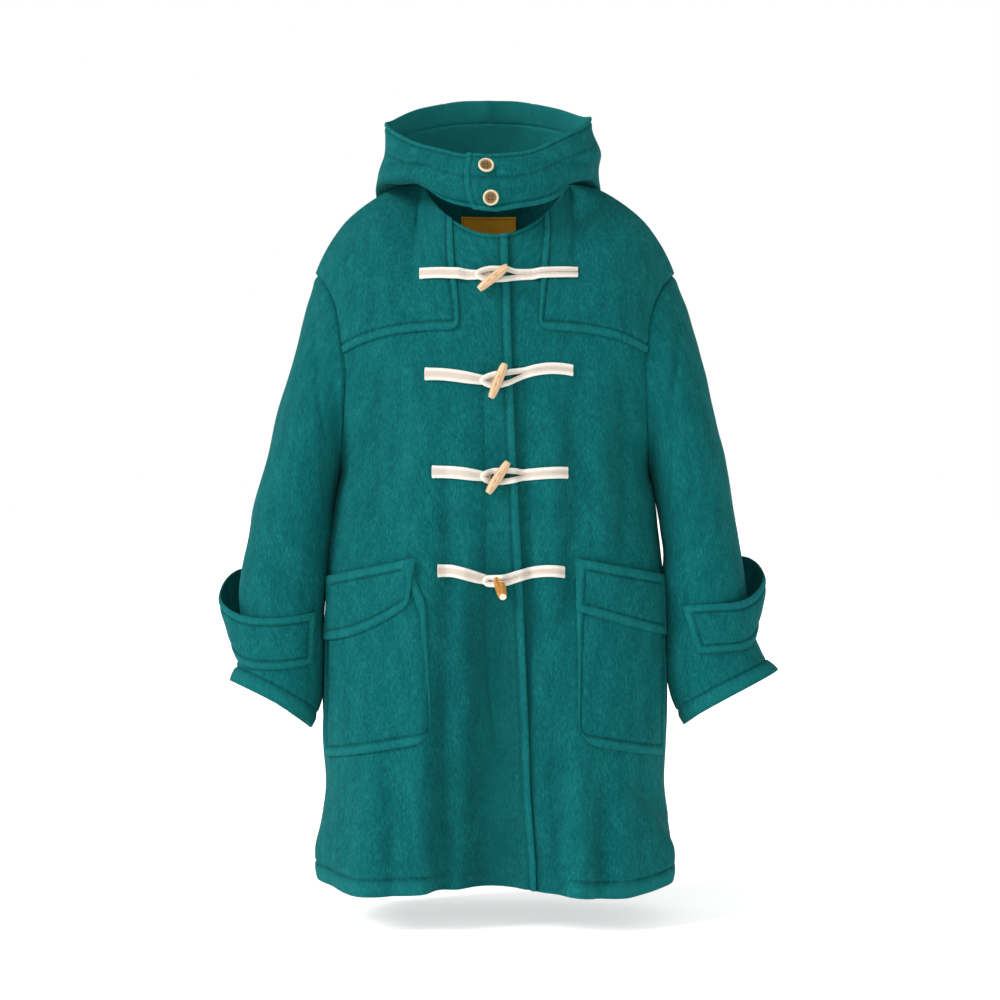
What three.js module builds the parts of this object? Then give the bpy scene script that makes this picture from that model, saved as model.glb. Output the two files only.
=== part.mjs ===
// A brushed wool duffle coat, filled out with no wearer: two fronts, a back, shoulder yokes,
// two-piece sleeves with cuff straps, a three-piece hood with a throat tab, patch pockets with
// flaps, four toggle fastenings on cotton tape, two hood buttons and a blank neck label.
// Millimetres, +Z up, the front faces -Y, the origin is the centre of the neck opening.
import * as THREE from 'three';

// Cloth and clearances.
const WOOL = 2.6;
const SEAM = 0.3;
const LIFT = 0.5;
const LAYER = WOOL + LIFT;
const TAPE_THICK = 2.4;
const TAPE_WIDE = 15.5;
const LABEL_THICK = 1;

// Rows of numbers as rows with named columns.
const named = (names, rows) => rows.map((row) => (
  Object.fromEntries(row.map((value, i) => [names[i], value]))));

// How square the body's cross-section is, from 1 for an ellipse towards 0 for a box.
const FRONT_ROUND = 0.8;
const BACK_ROUND = 0.86;

// The closure: the viewer's left front lies over the right one, which runs on under it.
const OVER_EDGE = { top: -15, low: -19, hem: -50 };
const UNDER_EDGE = { top: -46, low: -42, hem: -12 };
const CLOSURE_LIFT = 4.6;
const OVERLAP_FULL = 52;
const OVERLAP_GONE = 135;

// Neckline and shoulder seam, from the centre out.
const FRONT_NECK = [
  { x: 0, y: -88, down: 56 },
  { x: 20, y: -86, down: 53 },
  { x: 42, y: -77, down: 43 },
  { x: 64, y: -59, down: 26 },
  { x: 82, y: -34, down: 4 },
  { x: 91, y: -13, down: -12 },
  { x: 95, y: 5, down: -18 },
];
const BACK_NECK = [
  { x: 0, y: 62, down: -10 },
  { x: 30, y: 58, down: -11 },
  { x: 58, y: 45, down: -13 },
  { x: 80, y: 26, down: -16 },
  { x: 91, y: 13, down: -17.5 },
  { x: 95, y: 5, down: -18 },
];
const SHOULDER = [
  { x: 95, y: 5, down: -18 },
  { x: 126, y: 4, down: -14.5 },
  { x: 156, y: 3, down: 1 },
  { x: 190, y: 2, down: 28 },
  { x: 211, y: 1, down: 56 },
  { x: 224, y: 0.5, down: 80 },
  { x: 231, y: 0, down: 97 },
];

// The armhole from the shoulder tip to the armpit, its share of the way round each half.
const ARMHOLE_FRONT = [
  { share: 0, x: 231, y: 0, down: 97 },
  { share: 0.14, x: 213, y: -34, down: 118 },
  { share: 0.28, x: 199, y: -57, down: 150 },
  { share: 0.44, x: 191, y: -72, down: 203 },
  { share: 0.6, x: 191, y: -74, down: 250 },
  { share: 0.76, x: 194, y: -60, down: 300 },
  { share: 0.9, x: 197.5, y: -32, down: 338 },
  { share: 1, x: 199, y: 0, down: 354 },
];
const ARMHOLE_BACK = [
  { share: 0, x: 231, y: 0, down: 97 },
  { share: 0.14, x: 214, y: 34, down: 117 },
  { share: 0.28, x: 201, y: 62, down: 149 },
  { share: 0.44, x: 193, y: 80, down: 203 },
  { share: 0.6, x: 192, y: 84, down: 250 },
  { share: 0.76, x: 194, y: 69, down: 300 },
  { share: 0.9, x: 197.5, y: 37, down: 338 },
  { share: 1, x: 199, y: 0, down: 354 },
];
const CHEST_SHARE = 0.44;

// Half width at the side seam, and how far the front and the back stand from the middle.
const BODY = [
  { down: 176, side: 190, front: 117, back: 112 },
  { down: 250, side: 192, front: 123, back: 122 },
  { down: 354, side: 199, front: 129, back: 129 },
  { down: 388, side: 207, front: 130, back: 130 },
  { down: 426, side: 212, front: 130, back: 130 },
  { down: 468, side: 217, front: 131, back: 131 },
  { down: 520, side: 219.5, front: 132, back: 132 },
  { down: 600, side: 222, front: 133, back: 134 },
  { down: 702, side: 222, front: 134, back: 138 },
  { down: 754, side: 219.5, front: 134, back: 141 },
  { down: 800, side: 226, front: 135, back: 144 },
  { down: 840, side: 232, front: 135, back: 147 },
  { down: 885, side: 230, front: 136, back: 150 },
];

// Rows of the body below the chest: where each meets the centre and the armhole or side seam,
// and how far it dips between them.
const ROWS = [
  { centre: 176, share: 0.44 },
  { centre: 222, share: 0.6 },
  { centre: 272, share: 0.76 },
  { centre: 316, share: 0.9 },
  { centre: 345, share: 1 },
  { centre: 384, edge: 388 },
  { centre: 424, edge: 426 },
  { centre: 463, edge: 464 },
  { centre: 501, edge: 502 },
  { centre: 538, edge: 539 },
  { centre: 575, edge: 576 },
  { centre: 612, edge: 613 },
  { centre: 650, edge: 651 },
  { centre: 688, edge: 689 },
  { centre: 722, edge: 724 },
  { centre: 754, edge: 757 },
  { centre: 787, edge: 791 },
  { centre: 820, edge: 825 },
  { centre: 850, edge: 851, dip: 3 },
  { centre: 877, edge: 875, dip: 8 },
];
// The viewer's right half of the hem dips this much more than the left one.
const RIGHT_DIP = 1.4;
const UPPER_STEPS = 6;

// Columns of a front past its closing edge: mm at the neck and shoulder, then shares of the
// half width at the chest and at the hem.
const FRONT_COLUMNS = [
  { top: 8, low: 0.02, hem: -0.06 },
  { top: 30, low: 0.12, hem: 0.08 },
  { top: 54, low: 0.235, hem: 0.2 },
  { top: 66, low: 0.31, hem: 0.31 },
  { top: 80, low: 0.4, hem: 0.4 },
  { top: 90, low: 0.47, hem: 0.48 },
  { top: 95, low: 0.54, hem: 0.56 },
  { top: 126, low: 0.64, hem: 0.66 },
  { top: 156, low: 0.74, hem: 0.76 },
  { top: 182, low: 0.83, hem: 0.86 },
  { top: 206, low: 0.91, hem: 0.94 },
  { top: 222, low: 0.965, hem: 0.985 },
  { top: 231, low: 1, hem: 1 },
];
const YOKE_COLUMN = 3;
const YOKE_BACK_OFF = 1.4;
const YOKE_CORNER_CUT = 0.28;

// Columns of the back, from the middle out.
const BACK_COLUMNS = [
  { top: 0, low: 0, hem: 0 },
  { top: 22, low: 0.13, hem: 0.12 },
  { top: 46, low: 0.26, hem: 0.24 },
  { top: 72, low: 0.39, hem: 0.36 },
  { top: 95, low: 0.52, hem: 0.48 },
  { top: 126, low: 0.64, hem: 0.6 },
  { top: 156, low: 0.74, hem: 0.72 },
  { top: 182, low: 0.83, hem: 0.83 },
  { top: 206, low: 0.91, hem: 0.92 },
  { top: 222, low: 0.965, hem: 0.98 },
  { top: 231, low: 1, hem: 1 },
];

// How the cloth leaves the neck and the shoulder, as shares of a column's length.
const LEAVE = {
  front: { neck: [0, -0.4, -0.9], shoulder: [0.1, -0.8, -0.5], chest: [0, 0, -1] },
  back: { neck: [0, 0.75, -0.6], shoulder: [0.1, 0.85, -0.45], chest: [0, 0.05, -1] },
};

// Soft folds that run down the body: degrees round from the centre front, degrees gained per
// mm down, half spread, where each starts and ends, and how far it stands out or sinks in.
const BODY_FOLDS = [
  { turn: -4, lean: 0, spread: 19, from: 430, to: 1300, depth: -62 },
  { turn: -17, lean: -0.006, spread: 4.5, from: 560, to: 1100, depth: -16 },
  { turn: -38, lean: 0, spread: 13, from: 480, to: 1100, depth: 15 },
  { turn: 25, lean: 0, spread: 9, from: 560, to: 1100, depth: 15 },
  { turn: 36, lean: 0.42, spread: 8, from: 716, to: 862, depth: -8 },
  { turn: 72, lean: -0.02, spread: 8, from: 700, to: 1050, depth: 9 },
  { turn: -66, lean: 0.03, spread: 8, from: 690, to: 1050, depth: -8 },
  { turn: 118, lean: 0.02, spread: 9, from: 520, to: 1100, depth: 13 },
  { turn: 140, lean: 0, spread: 7, from: 480, to: 1100, depth: -12 },
  { turn: 158, lean: 0.01, spread: 9, from: 400, to: 1100, depth: 14 },
  { turn: 180, lean: 0, spread: 10, from: 420, to: 1100, depth: -13 },
  { turn: 203, lean: -0.01, spread: 9, from: 380, to: 1100, depth: 14 },
  { turn: 224, lean: 0, spread: 8, from: 500, to: 1100, depth: -12 },
  { turn: 243, lean: -0.02, spread: 9, from: 520, to: 1100, depth: 12 },
];

// Sleeves: the outer and inner end of each section, its half depth from front to back, how
// far it is settled from the armhole's line into an oval, how far it swings forward, how far
// its inner front turns in towards the body, and how far its front edge is lifted.
const SLEEVE_NAMES = ['outer', 'outerDown', 'inner', 'innerDown', 'deep', 'settle', 'fore', 'hug', 'lift'];
const SLEEVE = {
  left: named(SLEEVE_NAMES, [
    [231, 97, 199, 354, 80, 0, 0, 0, 0],
    [243, 132, 201, 361, 80, 0.4, 0, 0, 0],
    [258, 186, 204, 374, 79, 0.75, 1, 4, 0],
    [277, 262, 209, 396, 78, 0.95, 3, 10, 0],
    [296, 338, 214, 428, 76, 1, 6, 18, 0],
    [312, 394, 218.5, 463, 74, 1, 9, 20, 0],
    [319, 447, 219, 503, 72, 1, 12, 20, 0],
    [330, 501, 220.5, 549, 69, 1, 15, 16, 0],
    [328, 552, 221.5, 600, 66, 1, 18, 15, 1],
    [331, 592, 225, 645, 64, 1, 20, 14, 4],
    [342, 622, 236, 683, 63, 1, 21, 12, 10],
  ]),
  right: named(SLEEVE_NAMES, [
    [231, 97, 199, 354, 80, 0, 0, 0, 0],
    [246, 132, 201, 361, 80, 0.4, 0, 0, 0],
    [264, 186, 204, 374, 79, 0.75, 1, 4, 0],
    [282, 262, 209, 396, 78, 0.95, 3, 10, 0],
    [299, 338, 214, 428, 76, 1, 6, 18, 0],
    [309, 394, 218.5, 463, 74, 1, 9, 20, 0],
    [315, 447, 219, 503, 72, 1, 12, 20, 0],
    [324, 501, 220.5, 549, 70, 1, 15, 16, 0],
    [329, 550, 221.5, 600, 68, 1, 18, 15, 1],
    [344, 588, 228, 643, 66, 1, 20, 14, 3],
    [364, 608, 243, 679, 65, 1, 21, 12, 6],
  ]),
};
// The sleeve seams, as shares round the armhole's front and back halves.
const INSIDE_SEAM = 0.76;
const ELBOW_SEAM = 0.6;

// Soft folds across a sleeve: degrees round from its outer side to the front, mm down its
// outer side, spreads both ways, how the fold leans and how far it stands out.
const SLEEVE_FOLDS = [
  { turn: 55, down: 175, across: 45, along: 11, lean: -0.55, depth: -5 },
  { turn: 70, down: 330, across: 40, along: 26, lean: 0.5, depth: 4 },
  { turn: 100, down: 420, across: 45, along: 22, lean: 0.6, depth: -5 },
  { turn: 60, down: 480, across: 40, along: 22, lean: -0.4, depth: 4 },
  { turn: -80, down: 300, across: 50, along: 28, lean: 0.5, depth: 4 },
  { turn: -100, down: 430, across: 45, along: 22, lean: -0.5, depth: -5 },
];

// Cuff straps: degrees round from the sleeve's outer side, how far the strap stands off, and
// where its upper edge runs on each sleeve.
const STRAP_HIGH = { left: 63, right: 57 };
const STRAP = [
  { turn: -116, off: 1, left: 500, right: 494 },
  { turn: -75, off: 11, left: 488, right: 474 },
  { turn: -40, off: 24, left: 486, right: 468 },
  { turn: 0, off: 24, left: 514, right: 492 },
  { turn: 40, off: 10, left: 536, right: 520 },
  { turn: 80, off: 1.4, left: 540, right: 527 },
  { turn: 142, off: 1, left: 531, right: 533 },
];
const STRAP_TAPER = 0.75;
const STRAP_CLEAR = 1;
const STRAP_END = { left: { columns: 0, share: 0.5 }, right: { columns: 1, share: 0.7 } };

// The hood from the throat round to the back: seven points down each section, as distances
// from the neck's axis and heights, from the rim over the outside to the neck seam.
const HOOD_AXIS = { y: -13, rimShift: -9 };
const HOOD = [
  { turn: 0, r: [84, 94, 93, 91.5, 90.5, 89.5, 88.5], z: [42, 20, 0, -8, -15, -21, -27] },
  { turn: 30, r: [88, 99, 98, 96, 95, 93.5, 92], z: [47, 26, 8, 0, -7, -13, -19] },
  { turn: 58, r: [103, 115, 118, 114, 109, 104, 99], z: [62, 42, 22, 13, 7, 2, -3] },
  { turn: 78, r: [122, 131, 136, 133, 122, 109, 99], z: [83, 54, 32, 18, 13, 13, 16] },
  { turn: 92, r: [134, 133, 142, 144, 129, 111, 96], z: [103, 62, 35, 20, 22, 26, 27] },
  { turn: 110, r: [132, 136, 152, 156, 138, 112, 93], z: [112.5, 68, 24, 0, 8, 22, 25] },
  { turn: 130, r: [118, 138, 166, 172, 144, 107, 84], z: [129, 74, 6, -50, -36, 9, 20] },
  { turn: 155, r: [98, 129, 163, 167, 138, 99, 77], z: [140, 76, -20, -98, -84, 3, 17] },
  { turn: 180, r: [85, 123, 160, 164, 134, 95, 75], z: [141, 78, -30, -112, -98, 4, 15] },
];
const HOOD_STEPS = 12;
const HOOD_SEAM = 146;
const TAB_END = -17;
const UNDER_TAB_END = 14;
const TAB_BLEND = 26;
const TAB_LIFT = 4.2;

// Soft folds on the hood: degrees round, share of the way down, spreads and depth.
const HOOD_FOLDS = [
  { turn: -62, at: 0.34, across: 26, along: 0.05, lean: -0.004, depth: -5 },
  { turn: -50, at: 0.2, across: 22, along: 0.05, lean: -0.004, depth: 3 },
  { turn: 60, at: 0.3, across: 24, along: 0.05, lean: 0.004, depth: -5 },
  { turn: 96, at: 0.24, across: 26, along: 0.11, lean: 0, depth: 12 },
  { turn: 86, at: 0.56, across: 14, along: 0.12, lean: 0, depth: -8 },
  { turn: 82, at: 0.36, across: 10, along: 0.04, lean: 0.004, depth: -4 },
  { turn: 160, at: 0.45, across: 20, along: 0.1, lean: 0.002, depth: 4 },
  { turn: -150, at: 0.5, across: 18, along: 0.1, lean: -0.002, depth: -4 },
];

// Where the rim and the neck edge rise or dip unevenly: degrees round, spread, and the height
// added at the rim and at the neck edge.
const HOOD_RISES = [
  { turn: -98, across: 16, rim: -6, neck: 0 },
  { turn: -40, across: 20, rim: 2.5, neck: 0 },
  { turn: 65, across: 24, rim: 8, neck: 0 },
  { turn: -62, across: 16, rim: 0, neck: 12 },
  { turn: 76, across: 14, rim: 0, neck: 10 },
];

// Patch pockets and flaps: how far out the inner edge lies and how far down each edge runs.
const POCKET = {
  left: { innerTop: 88, innerBottom: 79, top: 470, slope: 25, bottom: 690, bottomSlope: 26 },
  right: { innerTop: 102, innerBottom: 104, top: 470, slope: 25, bottom: 692, bottomSlope: 22 },
};
// The left flap's bottom edge curves: `curve` is the power its drop grows by.
const FLAP = {
  left: { inner: 96, top: 463, slope: 25, bottom: 521, bottomSlope: 46, curve: 1.6 },
  right: { inner: 101, top: 464, slope: 22, bottom: 527, bottomSlope: 34 },
};
const POCKET_ROWS = 7;
const FLAP_ROWS = 3;
const POCKET_CORNER = 26;
const POCKET_OUTER = 0.97;
const FLAP_OUTER = 0.962;
// The panel column each patch starts from, counted from the closing edge, and the last one.
const PATCH_COLUMNS = { pocket: { '-1': 4, 1: 6 }, flap: { '-1': 5, 1: 6 }, last: 13 };

// Fastenings: the outer end of each tape, where the toggle's cord meets the loop, the toggle's
// middle below that, its lean from level, its tip towards the viewer, the height of its
// underside off the front, and how far the loop's two cords bow up.
const FASTENING_NAMES = ['leftX', 'leftDown', 'rightX', 'rightDown', 'down', 'drop',
  'lean', 'tip', 'seat', 'bow'];
const FASTENINGS = named(FASTENING_NAMES, [
  [-93, 107, 101, 105, 110, 0, 39, 0, 7.3, 0],
  [-86, 233, 97, 228, 242, 0, 68, 0, 6.5, 5],
  [-77, 355, 91, 356, 362, 0, 57, 0, 6.2, 0],
  [-71, 478, 87, 480, 492, 9, 98, 60, 3.2, -3],
]);
const TOGGLE_LONG = 50;
const TOGGLE_RADIUS = [5.9, 5.9, 5.9, 6.8];
const TOGGLE_X = [-2, 4, 4, 7];
const LOOP_REACH = 15;
const LOOP_PART = 34;
const LOOP_OPEN = 3.4;
const YOKE_INNER = { left: -42, right: 50 };

// Hood buttons and the neck label.
const BUTTON_RADIUS = 10;
const BUTTON_THICK = 4.5;
const BUTTON_SEAT = 0.3;
const BUTTONS = [{ x: -11, down: -28 }, { x: -5, down: 11 }];
const LABEL = { left: -46, right: 28, top: 11, bottom: 37 };

// Colours.
const clothColour = 0x0f7270;
const tapeColour = 0xd8d3c6;
const woodColour = 0xd0b18e;
const hornColour = 0x9a7a48;
const labelColour = 0xc88a18;

const rad = Math.PI / 180;
const lerp = (a, b, t) => a + (b - a) * t;
const clamp = (t) => Math.min(1, Math.max(0, t));
const smooth = (t) => clamp(t) ** 2 * (3 - 2 * clamp(t));
const bell = (t) => Math.exp(-t * t);
const add = (p, q, k = 1) => [p[0] + q[0] * k, p[1] + q[1] * k, p[2] + q[2] * k];
const mix = (p, q, t) => [lerp(p[0], q[0], t), lerp(p[1], q[1], t), lerp(p[2], q[2], t)];
const unit = (p) => add([0, 0, 0], p, 1 / Math.hypot(...p));
const cross = (p, q) => [
  p[1] * q[2] - p[2] * q[1],
  p[2] * q[0] - p[0] * q[2],
  p[0] * q[1] - p[1] * q[0],
];
const dot = (p, q) => p[0] * q[0] + p[1] * q[1] + p[2] * q[2];
const steps = (count) => Array.from({ length: count + 1 }, (_, i) => i / count);

// A cubic through the values at rising keys, with the slope at each key taken from its neighbours.
function through(keys, values, at) {
  let i = 0;
  while (i < keys.length - 2 && at > keys[i + 1]) i += 1;
  const slope = (k) => {
    const a = Math.max(0, k - 1);
    const b = Math.min(keys.length - 1, k + 1);
    return (values[b] - values[a]) / (keys[b] - keys[a]);
  };
  const width = keys[i + 1] - keys[i];
  const t = clamp((at - keys[i]) / width);
  const rise = t * t * (3 - 2 * t);
  return values[i] * (1 - rise) + values[i + 1] * rise
    + width * (slope(i) * t * (1 - t) ** 2 - slope(i + 1) * t * t * (1 - t));
}

// One column of a table at a key.
function column(rows, key, name, at) {
  return through(rows.map((row) => row[key]), rows.map((row) => row[name]), at);
}

// A point of a table of x, y and down at a key, on one side of the coat.
function pointOf(rows, key, at, side) {
  const of = (name) => column(rows, key, name, at);
  return [side * of('x'), of('y'), -of('down')];
}

// How far the folds push a point of the body out, from the turn round the body.
function foldDepth(turn, down) {
  let sum = 0;
  for (const fold of BODY_FOLDS) {
    if (down < fold.from || down > fold.to) continue;
    const away = ((turn - fold.turn - fold.lean * (down - fold.from) + 540) % 360) - 180;
    const short = fold.to < 1000;
    const span = (down - fold.from) / (fold.to - fold.from);
    const grow = short ? Math.sin(Math.PI * span) : smooth(span);
    sum += fold.depth * grow * bell(away / fold.spread);
  }
  return sum;
}

// A point of the body below the chest. `out` is the share of the half width, `face` is -1 for
// the front and 1 for the back. The section is a superellipse that meets the armhole or seam.
function lowerPoint(side, face, out, row) {
  const armhole = face < 0 ? ARMHOLE_FRONT : ARMHOLE_BACK;
  const round = face < 0 ? FRONT_ROUND : BACK_ROUND;
  const depthName = face < 0 ? 'front' : 'back';
  const edgeDown = row.share ? column(armhole, 'share', 'down', row.share) : row.edge;
  const edgeX = row.share
    ? column(armhole, 'share', 'x', row.share)
    : column(BODY, 'down', 'side', row.edge);
  const edgeY = row.share ? Math.abs(column(armhole, 'share', 'y', row.share)) : 0;
  const dip = (row.dip ?? 0) * (side > 0 ? RIGHT_DIP : 1);
  const down = lerp(row.centre, edgeDown, out ** 4) + dip * Math.sin(Math.PI * out * out);
  const edgeCos = (edgeY / column(BODY, 'down', depthName, edgeDown)) ** (1 / round);
  const reach = (1 - edgeCos ** 2) ** (round / 2);
  const depth = column(BODY, 'down', depthName, down);
  const y = face * depth * Math.max(0, 1 - (Math.abs(out) * reach) ** (2 / round)) ** (round / 2);
  const x = side * out * edgeX;
  const wide = edgeX / reach;
  const turn = Math.atan2(x / wide, -y / depth) / rad;
  const normal = unit([x / wide ** 2, y / depth ** 2, 0]);
  return add([x, y, -down], normal, foldDepth(turn, down));
}

// A point of the top edge: the neckline out to the neck point, then the shoulder seam.
function topPoint(side, face, top) {
  const neck = face < 0 ? FRONT_NECK : BACK_NECK;
  const table = Math.abs(top) <= neck.at(-1).x ? neck : SHOULDER;
  const point = pointOf(table, 'x', Math.abs(top), side);
  point[0] = side * top;
  return point;
}

// A panel's outer surface, as rows of points from the top edge to the hem.
function panel(side, face, columns) {
  const armhole = face < 0 ? ARMHOLE_FRONT : ARMHOLE_BACK;
  const leave = face < 0 ? LEAVE.front : LEAVE.back;
  const upper = (col, v) => {
    const start = topPoint(side, face, col.top);
    const end = lowerPoint(side, face, col.low, ROWS[0]);
    const long = Math.hypot(...add(end, start, -1));
    const share = clamp((Math.abs(col.top) - 60) / 90);
    const first = mix(leave.neck, leave.shoulder, share).map((value) => value * long);
    const last = leave.chest.map((value) => value * long);
    first[0] *= side;
    return [0, 1, 2].map((i) => (
      start[i] * (1 - v) ** 2 * (1 + 2 * v) + end[i] * v * v * (3 - 2 * v)
      + first[i] * v * (1 - v) ** 2 - last[i] * v * v * (1 - v)));
  };
  const rows = steps(UPPER_STEPS).slice(0, -1).map((v) => {
    const target = pointOf(armhole, 'share', v * CHEST_SHARE, side);
    const miss = add(target, upper(columns.at(-1), v), -1);
    return columns.map((col) => add(upper(col, v), miss, Math.max(0, col.low) ** 6));
  });
  const { centre: first } = ROWS[0];
  const { centre: last } = ROWS.at(-1);
  for (const row of ROWS) {
    const t = (row.centre - first) / (last - first);
    rows.push(columns.map((col) => lowerPoint(side, face, lerp(col.low, col.hem, t), row)));
  }
  return rows;
}

// Unit normals of a grid of points, pointing away from `inside`.
function normalsOf(rows, inside) {
  const last = rows.length - 1;
  const end = rows[0].length - 1;
  const raw = rows.map((row, j) => row.map((_, i) => {
    const along = add(row[Math.min(end, i + 1)], row[Math.max(0, i - 1)], -1);
    const down = add(rows[Math.min(last, j + 1)][i], rows[Math.max(0, j - 1)][i], -1);
    return unit(cross(along, down));
  }));
  const sign = Math.sign(rows.flat().reduce((sum, point, k) => (
    sum + dot(raw.flat()[k], add(point, inside(point), -1))), 0));
  return raw.map((row) => row.map((normal) => normal.map((value) => value * sign)));
}

// A closed wall between two grids of points.
function wallBetween(outer, inner) {
  const rows = outer.length;
  const cols = outer[0].length;
  const positions = [...outer.flat(), ...inner.flat()];
  const at = (j, i, layer) => layer * rows * cols + j * cols + i;
  const triangles = [];
  const quad = (a, b, c, d) => triangles.push([a, b, c], [a, c, d]);
  for (let j = 0; j < rows - 1; j += 1) {
    for (let i = 0; i < cols - 1; i += 1) {
      quad(at(j, i, 0), at(j, i + 1, 0), at(j + 1, i + 1, 0), at(j + 1, i, 0));
      quad(at(j, i, 1), at(j + 1, i, 1), at(j + 1, i + 1, 1), at(j, i + 1, 1));
    }
  }
  for (let j = 0; j < rows - 1; j += 1) {
    quad(at(j, 0, 0), at(j + 1, 0, 0), at(j + 1, 0, 1), at(j, 0, 1));
    quad(at(j, cols - 1, 0), at(j, cols - 1, 1), at(j + 1, cols - 1, 1), at(j + 1, cols - 1, 0));
  }
  for (let i = 0; i < cols - 1; i += 1) {
    quad(at(0, i + 1, 0), at(0, i, 0), at(0, i, 1), at(0, i + 1, 1));
    quad(at(rows - 1, i, 0), at(rows - 1, i + 1, 0), at(rows - 1, i + 1, 1), at(rows - 1, i, 1));
  }
  return solid(positions, triangles);
}

// A geometry whose faces point out, whichever way its triangles were listed.
function solid(positions, triangles) {
  const volume = triangles.reduce((sum, [a, b, c]) => (
    sum + dot(positions[a], cross(positions[b], positions[c]))), 0);
  const index = triangles.flatMap(([a, b, c]) => (volume > 0 ? [a, b, c] : [a, c, b]));
  const geometry = new THREE.BufferGeometry();
  geometry.setAttribute('position', new THREE.Float32BufferAttribute(positions.flat(), 3));
  geometry.setIndex(index);
  geometry.computeVertexNormals();
  return geometry;
}

// Moves the first or last column, or the first row, in from a seam by `by` mm.
function drawIn(rows, edge, by) {
  const pull = (p, q) => add(p, unit(add(q, p, -1)), by);
  if (edge === 'top') return [rows[0].map((p, i) => pull(p, rows[1][i])), ...rows.slice(1)];
  return rows.map((row) => (edge === 'first'
    ? [pull(row[0], row[1]), ...row.slice(1)]
    : [...row.slice(0, -1), pull(row.at(-1), row.at(-2))]));
}

// The wall from `from` mm to `to` mm off a surface.
const offset = (rows, normals, by) => rows.map((row, j) => row.map((p, i) => add(p, normals[j][i], by)));
const layer = (rows, normals, from, to) => (
  wallBetween(offset(rows, normals, to), offset(rows, normals, from)));

const coat = new THREE.Group();
function piece(name, geometry, colour, roughness = 0.95) {
  const material = new THREE.MeshStandardMaterial({ color: colour, roughness, metalness: 0 });
  const mesh = new THREE.Mesh(geometry, material);
  mesh.name = name;
  coat.add(mesh);
}

// Body panels, with the normals shared where two panels meet.
const withEdge = (edge, side) => {
  const half = column(BODY, 'down', 'side', ROWS.at(-1).edge);
  const chest = column(ARMHOLE_FRONT, 'share', 'x', CHEST_SHARE);
  const first = { top: edge.top, low: edge.low / chest, hem: edge.hem / half };
  const rest = side > 0 ? FRONT_COLUMNS.filter((col) => col.top !== 8) : FRONT_COLUMNS;
  return [first, ...(side > 0 ? [{ top: -8, low: -0.06, hem: 0.03 }, ...rest] : rest)];
};
const frontPanel = {
  '-1': panel(-1, -1, withEdge(OVER_EDGE, -1)),
  1: panel(1, -1, withEdge(UNDER_EDGE, 1)),
};
// The over front is moved out over the under one.
frontPanel[-1] = frontPanel[-1].map((row) => row.map((p) => {
  const out = 1 - smooth((-p[0] - OVERLAP_FULL) / (OVERLAP_GONE - OVERLAP_FULL));
  return add(p, [0, -CLOSURE_LIFT * out, 0]);
}));
const backSide = { '-1': panel(-1, 1, BACK_COLUMNS), 1: panel(1, 1, BACK_COLUMNS) };
const backPanel = backSide[-1].map((row, j) => [...row.slice(1).reverse(), ...backSide[1][j]]);
const middle = (p) => [0, 0, p[2]];
const frontNormal = { '-1': normalsOf(frontPanel[-1], middle), 1: normalsOf(frontPanel[1], middle) };
const backNormal = normalsOf(backPanel, middle);
const armpitRow = UPPER_STEPS + ROWS.findIndex((row) => row.share === 1);
const neckColumn = BACK_COLUMNS.findIndex((col) => col.top === 95);

function share(listA, iA, listB, iB) {
  const both = unit(add(listA[iA], listB[iB]));
  listA[iA] = both;
  listB[iB] = both;
}
for (const side of [-1, 1]) {
  const front = frontNormal[side];
  const end = front[0].length - 1;
  const outermost = side < 0 ? 0 : backPanel[0].length - 1;
  const shoulderColumns = BACK_COLUMNS.length - 1 - neckColumn;
  for (let k = 0; k <= shoulderColumns; k += 1) {
    share(front[0], end - k, backNormal[0], outermost - side * k);
  }
  for (let j = armpitRow; j < front.length; j += 1) {
    share(front[j], end, backNormal[j], outermost);
  }
}

// Sleeves: a ring for each row of the table, its columns on the armhole's own points.
const frontShares = [...steps(UPPER_STEPS).map((v) => v * CHEST_SHARE), 0.6, 0.76, 0.9, 1];
const turnOfShare = (at) => (at <= CHEST_SHARE
  ? (90 * at) / CHEST_SHARE
  : 90 + (90 * (at - CHEST_SHARE)) / (1 - CHEST_SHARE));
const sleeveColumns = [
  ...frontShares.slice(1).reverse().map((at) => ({ at, half: 1, turn: -turnOfShare(at) })),
  ...frontShares.map((at) => ({ at, half: -1, turn: turnOfShare(at) })),
];

function sleeveRows(side) {
  const table = side < 0 ? SLEEVE.left : SLEEVE.right;
  return table.map((row, k) => sleeveColumns.map(({ at, half, turn }) => {
    const armhole = half < 0 ? ARMHOLE_FRONT : ARMHOLE_BACK;
    const start = pointOf(armhole, 'share', at, side);
    const centre = [side * (row.outer + row.inner) / 2, -row.fore, -(row.outerDown + row.innerDown) / 2];
    const across = [side * (row.outer - row.inner) / 2, 0, -(row.outerDown - row.innerDown) / 2];
    const oval = add(add(centre, across, Math.cos(turn * rad)), [0, -row.deep, 0], Math.sin(turn * rad));
    const front = Math.sin(turn * rad);
    oval[0] -= side * row.hug * front * (0.5 - 0.5 * Math.cos(turn * rad));
    oval[2] += row.lift * Math.max(0, front);
    const point = mix(start, oval, row.settle);
    if (k === 0) return point;
    const outward = unit([side * Math.cos(turn * rad), -Math.sin(turn * rad), 0]);
    const bend = SLEEVE_FOLDS.reduce((sum, fold) => {
      const along = (row.outerDown - fold.down) + fold.lean * (turn - fold.turn);
      return sum + fold.depth * bell((turn - fold.turn) / fold.across) * bell(along / fold.along);
    }, 0);
    return add(point, outward, bend * row.settle);
  }));
}

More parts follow.
